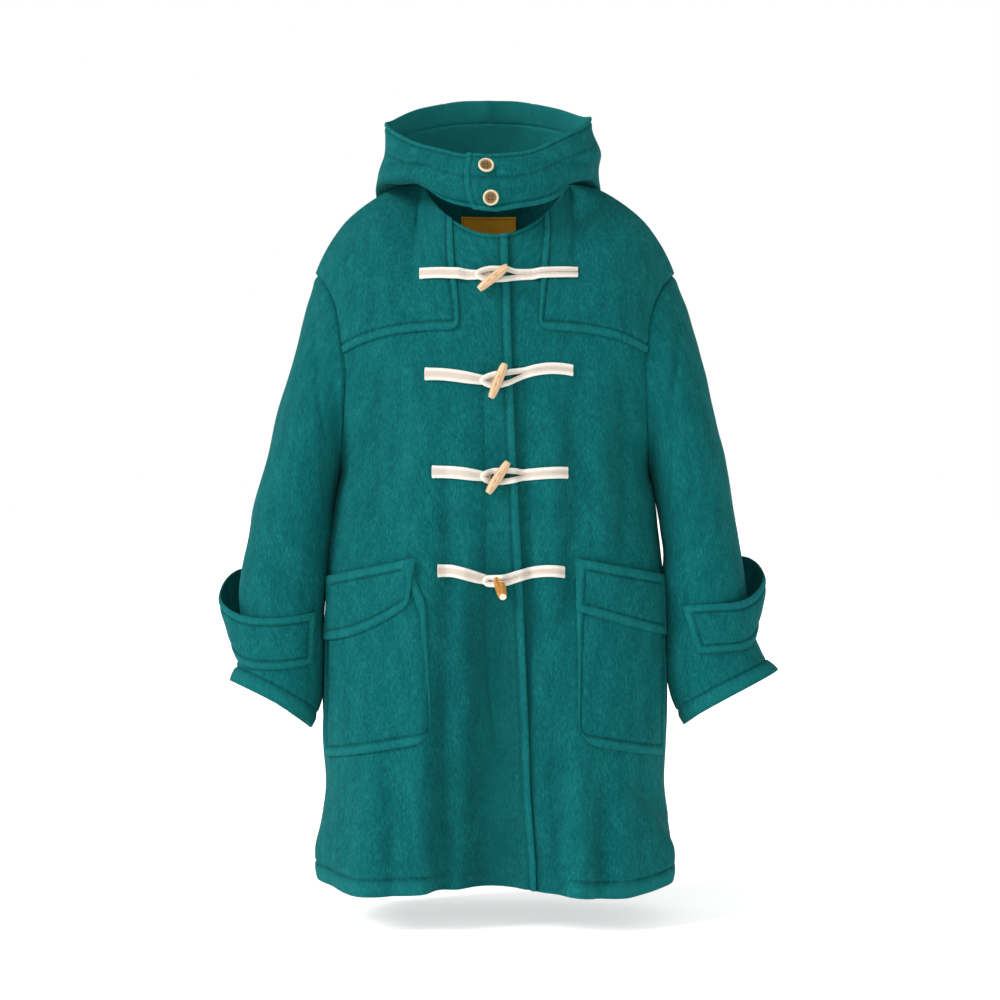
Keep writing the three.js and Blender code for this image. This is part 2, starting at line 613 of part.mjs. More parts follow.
const sleeve = {};
const sleeveNormal = {};
for (const side of [-1, 1]) {
  const rows = sleeveRows(side);
  const inside = (p) => {
    const t = clamp((-p[2] - 200) / 450);
    return [side * lerp(215, 290, t), lerp(0, -20, t), p[2]];
  };
  const wrapped = rows.map((row) => [row.at(-2), ...row, row[1]]);
  const normals = normalsOf(wrapped, inside).map((row) => row.slice(1, -1));
  // At the armhole the sleeve and the panels share a mitred edge, apart from the underarm.
  const backEnd = side < 0 ? 0 : backPanel[0].length - 1;
  sleeveColumns.forEach(({ half, turn }, i) => {
    if (Math.abs(turn) > 100) return;
    const j = Math.round((Math.abs(turn) / 90) * UPPER_STEPS);
    const list = half < 0 ? frontNormal[side] : backNormal;
    const k = half < 0 ? list[j].length - 1 : backEnd;
    const both = unit(add(list[j][k], normals[0][i]));
    list[j][k] = both;
    normals[0][i] = both;
  });
  sleeve[side] = drawIn(rows, 'top', SEAM);
  sleeveNormal[side] = normals;
}

const half = SEAM / 2;
const label = { '-1': 'left', 1: 'right' };
for (const side of [-1, 1]) {
  const drawn = drawIn(drawIn(frontPanel[side], 'last', half), 'top', half);
  piece(`front_${label[side]}`, layer(drawn, frontNormal[side], -WOOL, 0), clothColour);
}
const backDrawn = drawIn(drawIn(drawIn(backPanel, 'first', half), 'last', half), 'top', half);
piece('back', layer(backDrawn, backNormal, -WOOL, 0), clothColour);

// Part of a grid, by rows and columns.
const cut = (rows, j0, j1, i0, i1) => rows.slice(j0, j1 + 1).map((row) => row.slice(i0, i1 + 1));

// Shoulder yokes lie on the panels, from the neck and shoulder to the chest row.
for (const side of [-1, 1]) {
  const first = YOKE_COLUMN + (side > 0 ? 1 : 0);
  const end = frontPanel[side][0].length - 1;
  let rows = cut(frontPanel[side], 0, UPPER_STEPS, first, end);
  const normals = cut(frontNormal[side], 0, UPPER_STEPS, first, end);
  rows = drawIn(drawIn(rows, 'last', YOKE_BACK_OFF), 'top', half);
  const corner = rows.at(-1);
  corner[0] = mix(corner[0], rows.at(-2)[1], YOKE_CORNER_CUT);
  piece(`yoke_front_${label[side]}`, layer(rows, normals, LIFT, LAYER), clothColour);
}
let yokeBack = cut(backPanel, 0, UPPER_STEPS + 1, 0, backPanel[0].length - 1);
yokeBack = drawIn(drawIn(drawIn(yokeBack, 'first', YOKE_BACK_OFF), 'last', YOKE_BACK_OFF), 'top', half);
piece('yoke_back', layer(yokeBack, backNormal, LIFT, LAYER), clothColour);

// Each sleeve is an upper and an under piece.
const insideIndex = sleeveColumns.findIndex((col) => col.half < 0 && col.at === INSIDE_SEAM);
const elbowIndex = sleeveColumns.findIndex((col) => col.half > 0 && col.at === ELBOW_SEAM);
for (const side of [-1, 1]) {
  const rows = sleeve[side];
  const end = rows.length - 1;
  const upperRows = cut(rows, 0, end, elbowIndex, insideIndex);
  const upperNormals = cut(sleeveNormal[side], 0, end, elbowIndex, insideIndex);
  const wrap = (grid) => grid.map((row) => [...row.slice(insideIndex), ...row.slice(1, elbowIndex + 1)]);
  const trim = (grid) => drawIn(drawIn(grid, 'first', half), 'last', half);
  piece(`sleeve_upper_${label[side]}`, layer(trim(upperRows), upperNormals, -WOOL, 0), clothColour);
  const under = layer(trim(wrap(rows)), wrap(sleeveNormal[side]), -WOOL, 0);
  piece(`sleeve_under_${label[side]}`, under, clothColour);
}

// A point of a sleeve at one of its columns and a height, moved out by `by`.
function onSleeve(side, i, down, by) {
  const rows = sleeve[side];
  let j = 0;
  while (j < rows.length - 2 && -rows[j + 1][i][2] < down) j += 1;
  const t = (down + rows[j][i][2]) / (rows[j][i][2] - rows[j + 1][i][2]);
  const normal = unit(mix(sleeveNormal[side][j][i], sleeveNormal[side][j + 1][i], t));
  return add(mix(rows[j][i], rows[j + 1][i], t), normal, by);
}

// Cuff straps start at the elbow seam, stand off the outer side and end on the front.
const STRAP_STEPS = 3;
for (const side of [-1, 1]) {
  const name = label[side];
  const used = sleeveColumns.map((col, i) => ({ ...col, i })).slice(
    elbowIndex, insideIndex + 1 - STRAP_END[name].columns);
  const shell = (extra) => steps(STRAP_STEPS).map((v) => used.map(({ turn, i }) => {
    const loose = column(STRAP, 'turn', 'off', turn);
    const off = Math.max(STRAP_CLEAR, loose * (1 - STRAP_TAPER * v * v)) + extra;
    const down = column(STRAP, 'turn', name, turn) + v * STRAP_HIGH[name];
    return onSleeve(side, i, down, off);
  }));
  const shorten = (rows) => rows.map((row) => [
    ...row.slice(0, -1), mix(row.at(-2), row.at(-1), STRAP_END[name].share)]);
  piece(`cuff_strap_${name}`, wallBetween(shorten(shell(WOOL)), shorten(shell(0))), clothColour);
}

// The hood's outer surface at a turn from the throat and a share down from the rim.
function hoodPoint(turn, at) {
  const side = Math.sign(turn) || 1;
  const turns = HOOD.map((row) => row.turn);
  const keys = [0, 0.22, 0.42, 0.55, 0.7, 0.86, 1];
  const shape = (name) => through(
    keys, keys.map((_, k) => through(turns, HOOD.map((row) => row[name][k]), Math.abs(turn))), at);
  const bend = HOOD_FOLDS.reduce((sum, fold) => {
    const along = at - fold.at - fold.lean * (turn - fold.turn);
    return sum + fold.depth * bell((turn - fold.turn) / fold.across) * bell(along / fold.along);
  }, 0);
  const rise = HOOD_RISES.reduce((sum, { turn: place, across, rim, neck }) => (
    sum + bell((turn - place) / across) * (rim * (1 - at) ** 2 + neck * at ** 2)), 0);
  const r = shape('r') + bend;
  const shift = HOOD_AXIS.rimShift * (1 - at ** 3);
  return [
    side * r * Math.sin(Math.abs(turn) * rad) + shift,
    HOOD_AXIS.y - r * Math.cos(turn * rad),
    shape('z') + rise,
  ];
}

const hoodColumns = (from, to, count) => steps(count).map((t) => lerp(from, to, t));
function hoodGrid(turns) {
  return steps(HOOD_STEPS).map((at) => turns.map((turn) => hoodPoint(turn, at)));
}
// Normals come from a slightly larger grid's neighbours, so that pieces agree at their seams.
function hoodNormals(turns) {
  const small = 0.5;
  return steps(HOOD_STEPS).map((at) => turns.map((turn) => {
    const along = add(hoodPoint(turn + small, at), hoodPoint(turn - small, at), -1);
    const down = add(hoodPoint(turn, Math.min(1, at + 0.02)), hoodPoint(turn, Math.max(0, at - 0.02)), -1);
    return unit(cross(down, along));
  }));
}
const hoodLeft = hoodColumns(-HOOD_SEAM, UNDER_TAB_END, 12);
const hoodRight = hoodColumns(TAB_END, HOOD_SEAM, 12);
const hoodCentre = hoodColumns(HOOD_SEAM, 360 - HOOD_SEAM, 5);
const wrapTurn = (turn) => (turn > 180 ? turn - 360 : turn);
const leftGrid = drawIn(hoodGrid(hoodLeft), 'first', half);
piece('hood_left', layer(leftGrid, hoodNormals(hoodLeft), -WOOL, 0), clothColour);
const tabOut = (turn) => TAB_LIFT * (1 - smooth((turn - UNDER_TAB_END - 4) / TAB_BLEND));
const rightNormals = hoodNormals(hoodRight);
const rightGrid = drawIn(hoodGrid(hoodRight), 'last', half)
  .map((row, j) => row.map((p, i) => add(p, rightNormals[j][i], tabOut(hoodRight[i]))));
piece('hood_right', layer(rightGrid, rightNormals, -WOOL, 0), clothColour);
const centreTurns = hoodCentre.map(wrapTurn);
const centreGrid = drawIn(drawIn(hoodGrid(centreTurns), 'first', half), 'last', half);
piece('hood_centre', layer(centreGrid, hoodNormals(centreTurns), -WOOL, 0), clothColour);

// The point of a grid's facets seen at x and down from the front, moved out by `by`.
function onFront(grid, normals, x, down, by) {
  for (let j = 0; j < grid.length - 1; j += 1) {
    for (let i = 0; i < grid[0].length - 1; i += 1) {
      const corners = [[j, i], [j, i + 1], [j + 1, i + 1], [j + 1, i]];
      for (const [a, b, c] of [[0, 1, 2], [0, 2, 3]]) {
        const [p, q, r] = [a, b, c].map((k) => grid[corners[k][0]][corners[k][1]]);
        const area = (q[0] - p[0]) * (r[2] - p[2]) - (r[0] - p[0]) * (q[2] - p[2]);
        const u = ((x - p[0]) * (r[2] - p[2]) - (r[0] - p[0]) * (-down - p[2])) / area;
        const v = ((q[0] - p[0]) * (-down - p[2]) - (x - p[0]) * (q[2] - p[2])) / area;
        if (u >= -1e-6 && v >= -1e-6 && u + v <= 1 + 1e-6) {
          const [l, m, n] = [a, b, c].map((k) => normals[corners[k][0]][corners[k][1]]);
          const point = add(add(add([0, 0, 0], p, 1 - u - v), q, u), r, v);
          const normal = unit(add(add(add([0, 0, 0], l, 1 - u - v), m, u), n, v));
          return { at: add(point, normal, by), normal };
        }
      }
    }
  }
  throw new Error(`nothing at ${x}, ${down}`);
}

// How far out one of a front panel's columns lies at a height.
function columnOut(side, i, down) {
  const grid = frontPanel[side];
  let j = UPPER_STEPS;
  while (j < grid.length - 2 && -grid[j + 1][i][2] < down) j += 1;
  const t = (down + grid[j][i][2]) / (grid[j][i][2] - grid[j + 1][i][2]);
  return side * lerp(grid[j][i][0], grid[j + 1][i][0], t);
}

// A patch on a front, `from` to `to` mm off it. Rows run from its top edge to its bottom edge,
// and its columns are the panel's own from spec.first to spec.last, with its two side edges.
function patch(side, spec, rowCount, corner, outerShare, from, to) {
  const rounded = (x, inner) => {
    const past = clamp((corner - (x - inner)) / corner);
    return corner ? corner * (1 - Math.sqrt(1 - past * past)) : 0;
  };
  const count = spec.last - spec.first;
  const surface = (by) => steps(rowCount).map((v) => steps(count).map((_, k) => {
    const inner = lerp(spec.innerTop ?? spec.inner, spec.innerBottom ?? spec.inner, v);
    let down = lerp(spec.top, spec.bottom, v);
    let x = inner;
    for (let pass = 0; pass < 4; pass += 1) {
      const outer = outerShare * column(BODY, 'down', 'side', down);
      if (k === count) x = outer;
      else if (k > 0) x = Math.min(outer, Math.max(inner, columnOut(side, spec.first + k, down)));
      const out = (x - inner) / (outer - inner);
      const top = spec.top + spec.slope * out;
      const drop = 1 - (1 - clamp(out)) ** (spec.curve ?? 1);
      const bottom = spec.bottom + spec.bottomSlope * drop - rounded(x, inner);
      down = lerp(top, bottom, v);
    }
    return onFront(frontPanel[side], frontNormal[side], side * x, down, by).at;
  }));
  return wallBetween(surface(to), surface(from));
}

for (const side of [-1, 1]) {
  const name = label[side];
  const { last } = PATCH_COLUMNS;
  const pocket = { ...POCKET[name], first: PATCH_COLUMNS.pocket[side], last };
  const flap = { ...FLAP[name], first: PATCH_COLUMNS.flap[side], last };
  const pocketWall = patch(side, pocket, POCKET_ROWS, POCKET_CORNER, POCKET_OUTER, LIFT, LAYER);
  piece(`pocket_${name}`, pocketWall, clothColour);
  const flapFrom = LAYER + LIFT;
  const flapWall = patch(side, flap, FLAP_ROWS, 0, FLAP_OUTER, flapFrom, flapFrom + WOOL);
  piece(`pocket_flap_${name}`, flapWall, clothColour);
}

// How far what lies at x on the closure is lifted: the first fastening lies over the yokes.
function closureLift(k, x) {
  const onYoke = k === 0 && (x < YOKE_INNER.left || x > YOKE_INNER.right);
  return LIFT + (onYoke ? LAYER + LIFT : 0);
}
// Where the over front's closing edge lies at a height.
function closingEdge(down) {
  const edge = frontPanel[-1].map((row) => row[0]);
  let j = 0;
  while (j < edge.length - 2 && -edge[j + 1][2] < down) j += 1;
  return mix(edge[j], edge[j + 1], (down + edge[j][2]) / (edge[j][2] - edge[j + 1][2]))[0];
}
function onClosure(k, x, down, by) {
  const edge = closingEdge(down);
  const lift = closureLift(k, x) + by;
  if (x > edge + 6) return onFront(frontPanel[1], frontNormal[1], x, down, lift);
  const reach = Math.min(x, edge - 0.5);
  const { at, normal } = onFront(frontPanel[-1], frontNormal[-1], reach, down, lift);
  return { at: [at[0] + x - reach, at[1], at[2]], normal };
}

// A ribbon with flat ends: stations along a path, each with its middle, its width and its
// height, carrying a section of six corners.
const RIBBON = [[-0.5, 0.25], [-0.4, 0], [0.4, 0], [0.5, 0.25], [0.38, 1], [-0.38, 1]];
function ribbon(stations) {
  const positions = stations.flatMap(({ at, wide, high }) => (
    RIBBON.map(([u, v]) => add(add(at, wide, u), high, v))));
  const sides = RIBBON.length;
  const triangles = [];
  for (let k = 0; k < stations.length - 1; k += 1) {
    for (let i = 0; i < sides; i += 1) {
      const next = (i + 1) % sides;
      const [a, b, c, d] = [k * sides + i, k * sides + next, (k + 1) * sides + next, (k + 1) * sides + i];
      triangles.push([a, b, c], [a, c, d]);
    }
  }
  const end = (stations.length - 1) * sides;
  for (let i = 1; i < sides - 1; i += 1) {
    triangles.push([0, i + 1, i], [end, end + i, end + i + 1]);
  }
  return solid(positions, triangles);
}

// The direction up a surface, square to its normal, `long` mm of it.
const upAlong = (normal, long) => add([0, 0, 0], unit([0, normal[2], -normal[1]]), long);

// The tape that carries the toggle lies on the over front and ends under the toggle.
function toggleTape(k) {
  const { leftX, leftDown, down } = FASTENINGS[k];
  const stations = steps(9).map((t) => {
    const x = lerp(leftX, TOGGLE_X[k] - 3, t);
    const run = lerp(leftDown, down - 1, smooth(t * 1.15 - 0.15));
    const { at, normal } = onClosure(k, x, run, 0);
    const wide = TAPE_WIDE * lerp(1, 0.72, smooth(t * 2 - 1));
    return { at, wide: upAlong(normal, wide), high: add([0, 0, 0], normal, TAPE_THICK) };
  });
  return ribbon(stations);
}

// The loop's cord runs from the outer end along the tape, round the stem and back beside itself.
function loopTape(k) {
  const { rightX, rightDown, down, bow } = FASTENINGS[k];
  const cordWide = TAPE_WIDE / 2 - 0.25;
  const centre = TOGGLE_X[k] - 1;
  const over = TAPE_THICK + 2 * LIFT;
  const upper = steps(11).map((t) => {
    const x = lerp(rightX, centre - LOOP_REACH, t);
    const near = clamp((LOOP_PART - (x - centre)) / (LOOP_PART + LOOP_REACH));
    const spread = near > 0 ? Math.sqrt(Math.sin(Math.PI * Math.min(1, near * 0.62 + 0.02))) : 0;
    const gap = cordWide / 2 + 0.25 + LOOP_OPEN * spread * smooth(near * 3) - 6.4 * smooth((near - 0.82) / 0.18);
    const run = lerp(rightDown, down - 1, smooth(t)) - bow * Math.sin(Math.PI * clamp(t * 1.3));
    const rise = over * smooth(near * 2.2);
    return { x, run, gap: Math.max(gap, 0.9), rise };
  });
  const side = (list, sign) => list.map(({ x, run, gap, rise }) => {
    const { at, normal } = onClosure(k, x, run - sign * gap, rise);
    return { at, wide: upAlong(normal, sign * cordWide), high: add([0, 0, 0], normal, TAPE_THICK) };
  });
  const top = side(upper, 1);
  const bottom = side(upper, -1).reverse();
  const turnAt = top.length - 1;
  const tip = top[turnAt];
  const tipLow = bottom[0];
  const bend = {
    at: add(mix(tip.at, tipLow.at, 0.5), [-cordWide * 0.45, 0, 0]),
    wide: [-cordWide, 0, 0],
    high: tip.high,
  };
  tip.wide = [-cordWide * 0.7, 0, cordWide * 0.7];
  tipLow.wide = [-cordWide * 0.7, 0, -cordWide * 0.7];
  tip.at = add(tip.at, [0, 0, cordWide * 0.35]);
  tipLow.at = add(tipLow.at, [0, 0, -cordWide * 0.35]);
  return ribbon([...top, bend, ...bottom]);
}

// A toggle is a turned spindle with flat ends, its underside on the loop that holds it.
function toggle(k) {
  const { down, drop, lean, tip, seat } = FASTENINGS[k];
  const profile = [[0, -0.5], [0.62, -0.5], [0.78, -0.44], [0.95, -0.2], [1, 0], [0.95, 0.2],
    [0.78, 0.44], [0.62, 0.5], [0, 0.5]];
  const points = profile.map(([r, h]) => new THREE.Vector2(r * TOGGLE_RADIUS[k], h * TOGGLE_LONG));
  const geometry = new THREE.LatheGeometry(points, 12);
  geometry.rotateZ((lean - 90) * rad);
  geometry.rotateX((90 - tip) * rad);
  const reach = Math.max(...points.map(({ x, y }) => x * Math.cos(tip * rad) + y * Math.sin(tip * rad)));
  const [, y] = onClosure(k, TOGGLE_X[k], down, 0).at;
  geometry.translate(TOGGLE_X[k], y - seat - reach, -down - drop);
  return geometry;
}

FASTENINGS.forEach((_, k) => {
  piece(`toggle_tape_${k + 1}`, toggleTape(k), tapeColour, 0.9);
  piece(`loop_tape_${k + 1}`, loopTape(k), tapeColour, 0.9);
  piece(`toggle_${k + 1}`, toggle(k), woodColour, 0.55);
});

// Buttons sit on the throat tab, a rounded disc with a dished face.
BUTTONS.forEach(({ x, down }, k) => {
  const rim = BUTTON_RADIUS;
  const profile = [[0, 0], [rim * 0.8, 0], [rim, BUTTON_THICK * 0.35], [rim, BUTTON_THICK * 0.7],
    [rim * 0.84, BUTTON_THICK], [rim * 0.66, BUTTON_THICK * 0.62], [0, BUTTON_THICK * 0.62]];
  const points = profile.map(([r, h]) => new THREE.Vector2(r, h));
  const geometry = new THREE.LatheGeometry(points, 16);
  geometry.rotateX(180 * rad);
  const { at, normal } = onFront(rightGrid, rightNormals, x, down, LIFT + BUTTON_SEAT);
  geometry.rotateX(Math.atan2(-normal[2], -normal[1]));
  geometry.rotateZ(Math.atan2(normal[0], -normal[1]));
  geometry.translate(...at);
  piece(`hood_button_${k + 1}`, geometry, hornColour, 0.4);
});

// The neck label lies on the inside of the back.
const inward = backNormal.map((row) => row.map((normal) => normal.map((value) => -value)));
const labelSheet = (by) => steps(2).map((v) => steps(6).map((u) => onFront(
  cut(backPanel, 0, UPPER_STEPS, 0, backPanel[0].length - 1), inward,
  lerp(LABEL.left, LABEL.right, u), lerp(LABEL.top, LABEL.bottom, v), by).at));
const labelFrom = WOOL + LIFT;
const labelWall = wallBetween(labelSheet(labelFrom + LABEL_THICK), labelSheet(labelFrom));
piece('neck_label', labelWall, labelColour, 0.7);

export default coat;
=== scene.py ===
# %% [markdown]
# # A duffle coat in brushed wool
#
# The coat is cut from thick brushed wool and stands filled out, as if it were worn. Its
# construction is already settled as plain solids. Here each of them is dressed: every panel
# becomes a fine shell of cloth with turned edges, topstitching and nap, on the same form.
# Left and right are the viewer's, facing the front.
#
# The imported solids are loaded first, as a fixed frame. Nothing in it is moved.

import bpy
import numpy as np
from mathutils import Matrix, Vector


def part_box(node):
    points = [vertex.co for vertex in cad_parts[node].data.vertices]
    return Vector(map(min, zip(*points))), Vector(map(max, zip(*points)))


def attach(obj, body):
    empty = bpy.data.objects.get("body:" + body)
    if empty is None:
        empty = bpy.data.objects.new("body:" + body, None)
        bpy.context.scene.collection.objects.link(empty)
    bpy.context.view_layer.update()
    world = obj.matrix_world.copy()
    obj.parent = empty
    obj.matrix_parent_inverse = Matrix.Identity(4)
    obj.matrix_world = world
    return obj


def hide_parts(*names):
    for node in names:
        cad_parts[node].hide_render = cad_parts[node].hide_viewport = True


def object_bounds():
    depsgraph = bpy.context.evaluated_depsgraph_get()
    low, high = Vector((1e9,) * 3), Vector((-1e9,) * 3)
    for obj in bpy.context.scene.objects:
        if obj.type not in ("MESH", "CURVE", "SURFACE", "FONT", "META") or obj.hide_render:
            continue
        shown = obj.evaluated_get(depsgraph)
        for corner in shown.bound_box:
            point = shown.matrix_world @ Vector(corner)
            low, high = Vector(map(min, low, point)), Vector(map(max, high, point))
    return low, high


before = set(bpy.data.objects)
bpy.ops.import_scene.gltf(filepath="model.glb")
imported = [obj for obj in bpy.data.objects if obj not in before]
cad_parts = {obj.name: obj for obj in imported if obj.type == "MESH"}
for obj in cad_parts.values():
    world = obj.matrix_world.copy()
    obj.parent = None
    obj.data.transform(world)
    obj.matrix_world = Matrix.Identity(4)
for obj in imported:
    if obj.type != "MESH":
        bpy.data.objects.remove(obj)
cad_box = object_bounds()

MM = 0.001
print("solids:", len(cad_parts))

# %% [markdown]
# ## Curves through a few measurements
#
# A pattern cutter notes a garment as a few measurements at named places and draws smooth
# lines through them. The same is done here: a table has named columns, and `curve` runs a
# smooth line through two of them. All lengths are millimetres until a mesh is made.

# %% Tables and smooth lines
def table(names, *rows):
    """Rows of numbers as named columns."""
    return dict(zip(names.split(), np.array(rows, float).T))


def curve(keys, values, at):
    """Between two keys, the cubic whose slope at each key is that of the chord between the
    key's two neighbours. Beyond the ends it keeps the end's value. A key's value is a number,
    or an array with its own value for each entry of `at`."""
    keys, values = np.asarray(keys, float), np.asarray(values, float)
    last = len(keys) - 1

    def value(k):
        return values[k] if values.ndim == 1 else np.take_along_axis(values, k[None], 0)[0]

    def slope(k):
        before, after = np.maximum(k - 1, 0), np.minimum(k + 1, last)
        return (value(after) - value(before)) / (keys[after] - keys[before])

    i = np.clip(np.searchsorted(keys, at, side="right") - 1, 0, last - 1)
    width = keys[i + 1] - keys[i]
    t = np.clip((at - keys[i]) / width, 0, 1)
    rise = t * t * (3 - 2 * t)
    lean = slope(i) * t * (1 - t) ** 2 - slope(i + 1) * t * t * (1 - t)
    return value(i) * (1 - rise) + value(i + 1) * rise + width * lean


def of(rows, key, name, at):
    """A table's column `name` where its column `key` has the value `at`."""
    return curve(rows[key], rows[name], at)


def smooth(t):
    """0 below 0, 1 above 1, and 3t^2 - 2t^3 between."""
    t = np.clip(t, 0, 1)
    return t * t * (3 - 2 * t)


def bell(t):
    """exp(-t^2)."""
    return np.exp(-t * t)


def points(x, y, z):
    """Three arrays as one array of points."""
    return np.stack(np.broadcast_arrays(x, y, z), axis=-1).astype(float)


def unit(p):
    """Vectors divided by their lengths."""
    return p / np.maximum(np.linalg.norm(p, axis=-1, keepdims=True), 1e-9)


def stations(length, step, marks=(), close=1.3, reach=5):
    """Places from 0 to `length`, `step` apart, that crowd to `close` apart near each mark:
    they cut the area under a density curve, with a hump at each mark, into equal shares."""
    s = np.linspace(0, length, 3000)
    density = np.full_like(s, 1 / step)
    for mark in marks:
        density = np.maximum(density, np.exp(-((s - mark) / reach) ** 4) / close)
    area = np.concatenate([[0], np.cumsum((density[1:] + density[:-1]) / 2 * np.diff(s))])
    count = int(np.ceil(area[-1])) + 1
    return np.interp(np.linspace(0, area[-1], count), area, s)


# %% [markdown]
# ## The body's cut
#
# The neckline, the shoulder seam and the armhole are lines in space. Below the chest each
# level of the body is a superellipse, a section between an ellipse and a box, and soft folds
# run down it. Above the chest each column of cloth leaves the neck or the shoulder in its own
# direction and bends over to meet the chest. That is how the cloth hangs, so that creases and
# pockets can follow it, which a cut-out outline would not give.

# %% Measurements of the body
CLOTH = 2.6  # thickness of the wool
LIFT = 0.5  # air between two layers
LAYER = CLOTH + LIFT
FRONT_ROUND, BACK_ROUND = 0.8, 0.86  # 1 is an ellipse, less is squarer
CLOSURE_LIFT, OVERLAP_FULL, OVERLAP_GONE = 4.6, 52, 135  # how the left front lies over the right
NECK_POINT = 95
CHEST, HEM = 176, 877
CHEST_SHARE = 0.44

FRONT_NECK = table(
    "x y down", (0, -88, 56), (20, -86, 53), (42, -77, 43), (64, -59, 26), (82, -34, 4),
    (91, -13, -12), (95, 5, -18))
BACK_NECK = table(
    "x y down", (0, 62, -10), (30, 58, -11), (58, 45, -13), (80, 26, -16), (91, 13, -17.5),
    (95, 5, -18))
SHOULDER = table(
    "x y down", (95, 5, -18), (126, 4, -14.5), (156, 3, 1), (190, 2, 28), (211, 1, 56),
    (224, 0.5, 80), (231, 0, 97))
ARMHOLE = {
    -1: table(
        "share x y down", (0, 231, 0, 97), (0.14, 213, -34, 118), (0.28, 199, -57, 150),
        (0.44, 191, -72, 203), (0.6, 191, -74, 250), (0.76, 194, -60, 300),
        (0.9, 197.5, -32, 338), (1, 199, 0, 354)),
    1: table(
        "share x y down", (0, 231, 0, 97), (0.14, 214, 34, 117), (0.28, 201, 62, 149),
        (0.44, 193, 80, 203), (0.6, 192, 84, 250), (0.76, 194, 69, 300),
        (0.9, 197.5, 37, 338), (1, 199, 0, 354)),
}
BODY = table(
    "down side front back", (176, 190, 117, 112), (250, 192, 123, 122), (354, 199, 129, 129),
    (388, 207, 130, 130), (426, 212, 130, 130), (468, 217, 131, 131), (520, 219.5, 132, 132),
    (600, 222, 133, 134), (702, 222, 134, 138), (754, 219.5, 134, 141), (800, 226, 135, 144),
    (840, 232, 135, 147), (885, 230, 136, 150))
# Where each level of the centre line meets the armhole, as a share round it, and then the
# side seam. Near the hem the level dips between them.
ARM_LEVELS = table("centre share", (176, 0.44), (222, 0.6), (272, 0.76), (316, 0.9), (345, 1))
SEAM_LEVELS = table(
    "centre edge", (345, 354), (384, 388), (424, 426), (463, 464), (501, 502), (538, 539),
    (575, 576), (612, 613), (650, 651), (688, 689), (722, 724), (754, 757), (787, 791),
    (820, 825), (850, 851), (877, 875))
DIP = table("centre dip", (176, 0), (787, 0), (820, 0), (850, 3), (877, 8))
RIGHT_DIP = 1.4

# %% Columns, directions and folds of the body
# A column of cloth starts at x = `top` on the neck or shoulder and passes the shares `low` and
# `hem` of the half width at the chest and at the hem.
SHARED_COLUMNS = (
    (30, 0.12, 0.08), (54, 0.235, 0.2), (66, 0.31, 0.31), (80, 0.4, 0.4), (90, 0.47, 0.48),
    (95, 0.54, 0.56), (126, 0.64, 0.66), (156, 0.74, 0.76), (182, 0.83, 0.86),
    (206, 0.91, 0.94), (222, 0.965, 0.985), (231, 1, 1))
COLUMNS = {
    "front_left": table("top low hem", (-15, -0.0995, -0.217), (8, 0.02, -0.06), *SHARED_COLUMNS),
    "front_right": table("top low hem", (-46, -0.22, -0.052), (-8, -0.06, 0.03), *SHARED_COLUMNS),
    "back": table(
        "top low hem", (0, 0, 0), (22, 0.13, 0.12), (46, 0.26, 0.24), (72, 0.39, 0.36),
        (95, 0.52, 0.48), (126, 0.64, 0.6), (156, 0.74, 0.72), (182, 0.83, 0.83),
        (206, 0.91, 0.92), (222, 0.965, 0.98), (231, 1, 1)),
}
# How cloth leaves the neck, the shoulder and the chest, as shares of a column's length.
# The keys -1 and 1 stand for the front and the back.
LEAVE = {
    -1: {"neck": (0, -0.4, -0.9), "shoulder": (0.1, -0.8, -0.5), "chest": (0, 0, -1)},
    1: {"neck": (0, 0.75, -0.6), "shoulder": (0.1, 0.85, -0.45), "chest": (0, 0.05, -1)},
}
# Place in degrees, lean, spread in degrees, start and end down the body, and depth in mm.
BODY_FOLDS = (
    (-4, 0, 19, 430, 1300, -62), (-17, -0.006, 4.5, 560, 1100, -16), (-38, 0, 13, 480, 1100, 15),
    (25, 0, 9, 560, 1100, 15), (36, 0.42, 8, 716, 862, -8), (72, -0.02, 8, 700, 1050, 9),
    (-66, 0.03, 8, 690, 1050, -8), (118, 0.02, 9, 520, 1100, 13), (140, 0, 7, 480, 1100, -12),
    (158, 0.01, 9, 400, 1100, 14), (180, 0, 10, 420, 1100, -13), (203, -0.01, 9, 380, 1100, 14),
    (224, 0, 8, 500, 1100, -12), (243, -0.02, 9, 520, 1100, 12))


# %% The body as a function of column and level
def fold_depth(turn, down):
    """The sum over the folds of depth x bell(degrees away / spread) x growth down the fold.
    A long fold grows smoothly to the hem and a short one swells and ends as a sine."""
    total = np.zeros(np.broadcast(turn, down).shape)
    for place, lean, spread, start, end, depth in BODY_FOLDS:
        away = (turn - place - lean * (down - start) + 540) % 360 - 180
        span = np.clip((down - start) / (end - start), 0, 1)
        grow = np.sin(np.pi * span) if end < 1000 else smooth(span)
        total = total + depth * grow * bell(away / spread)
    return total


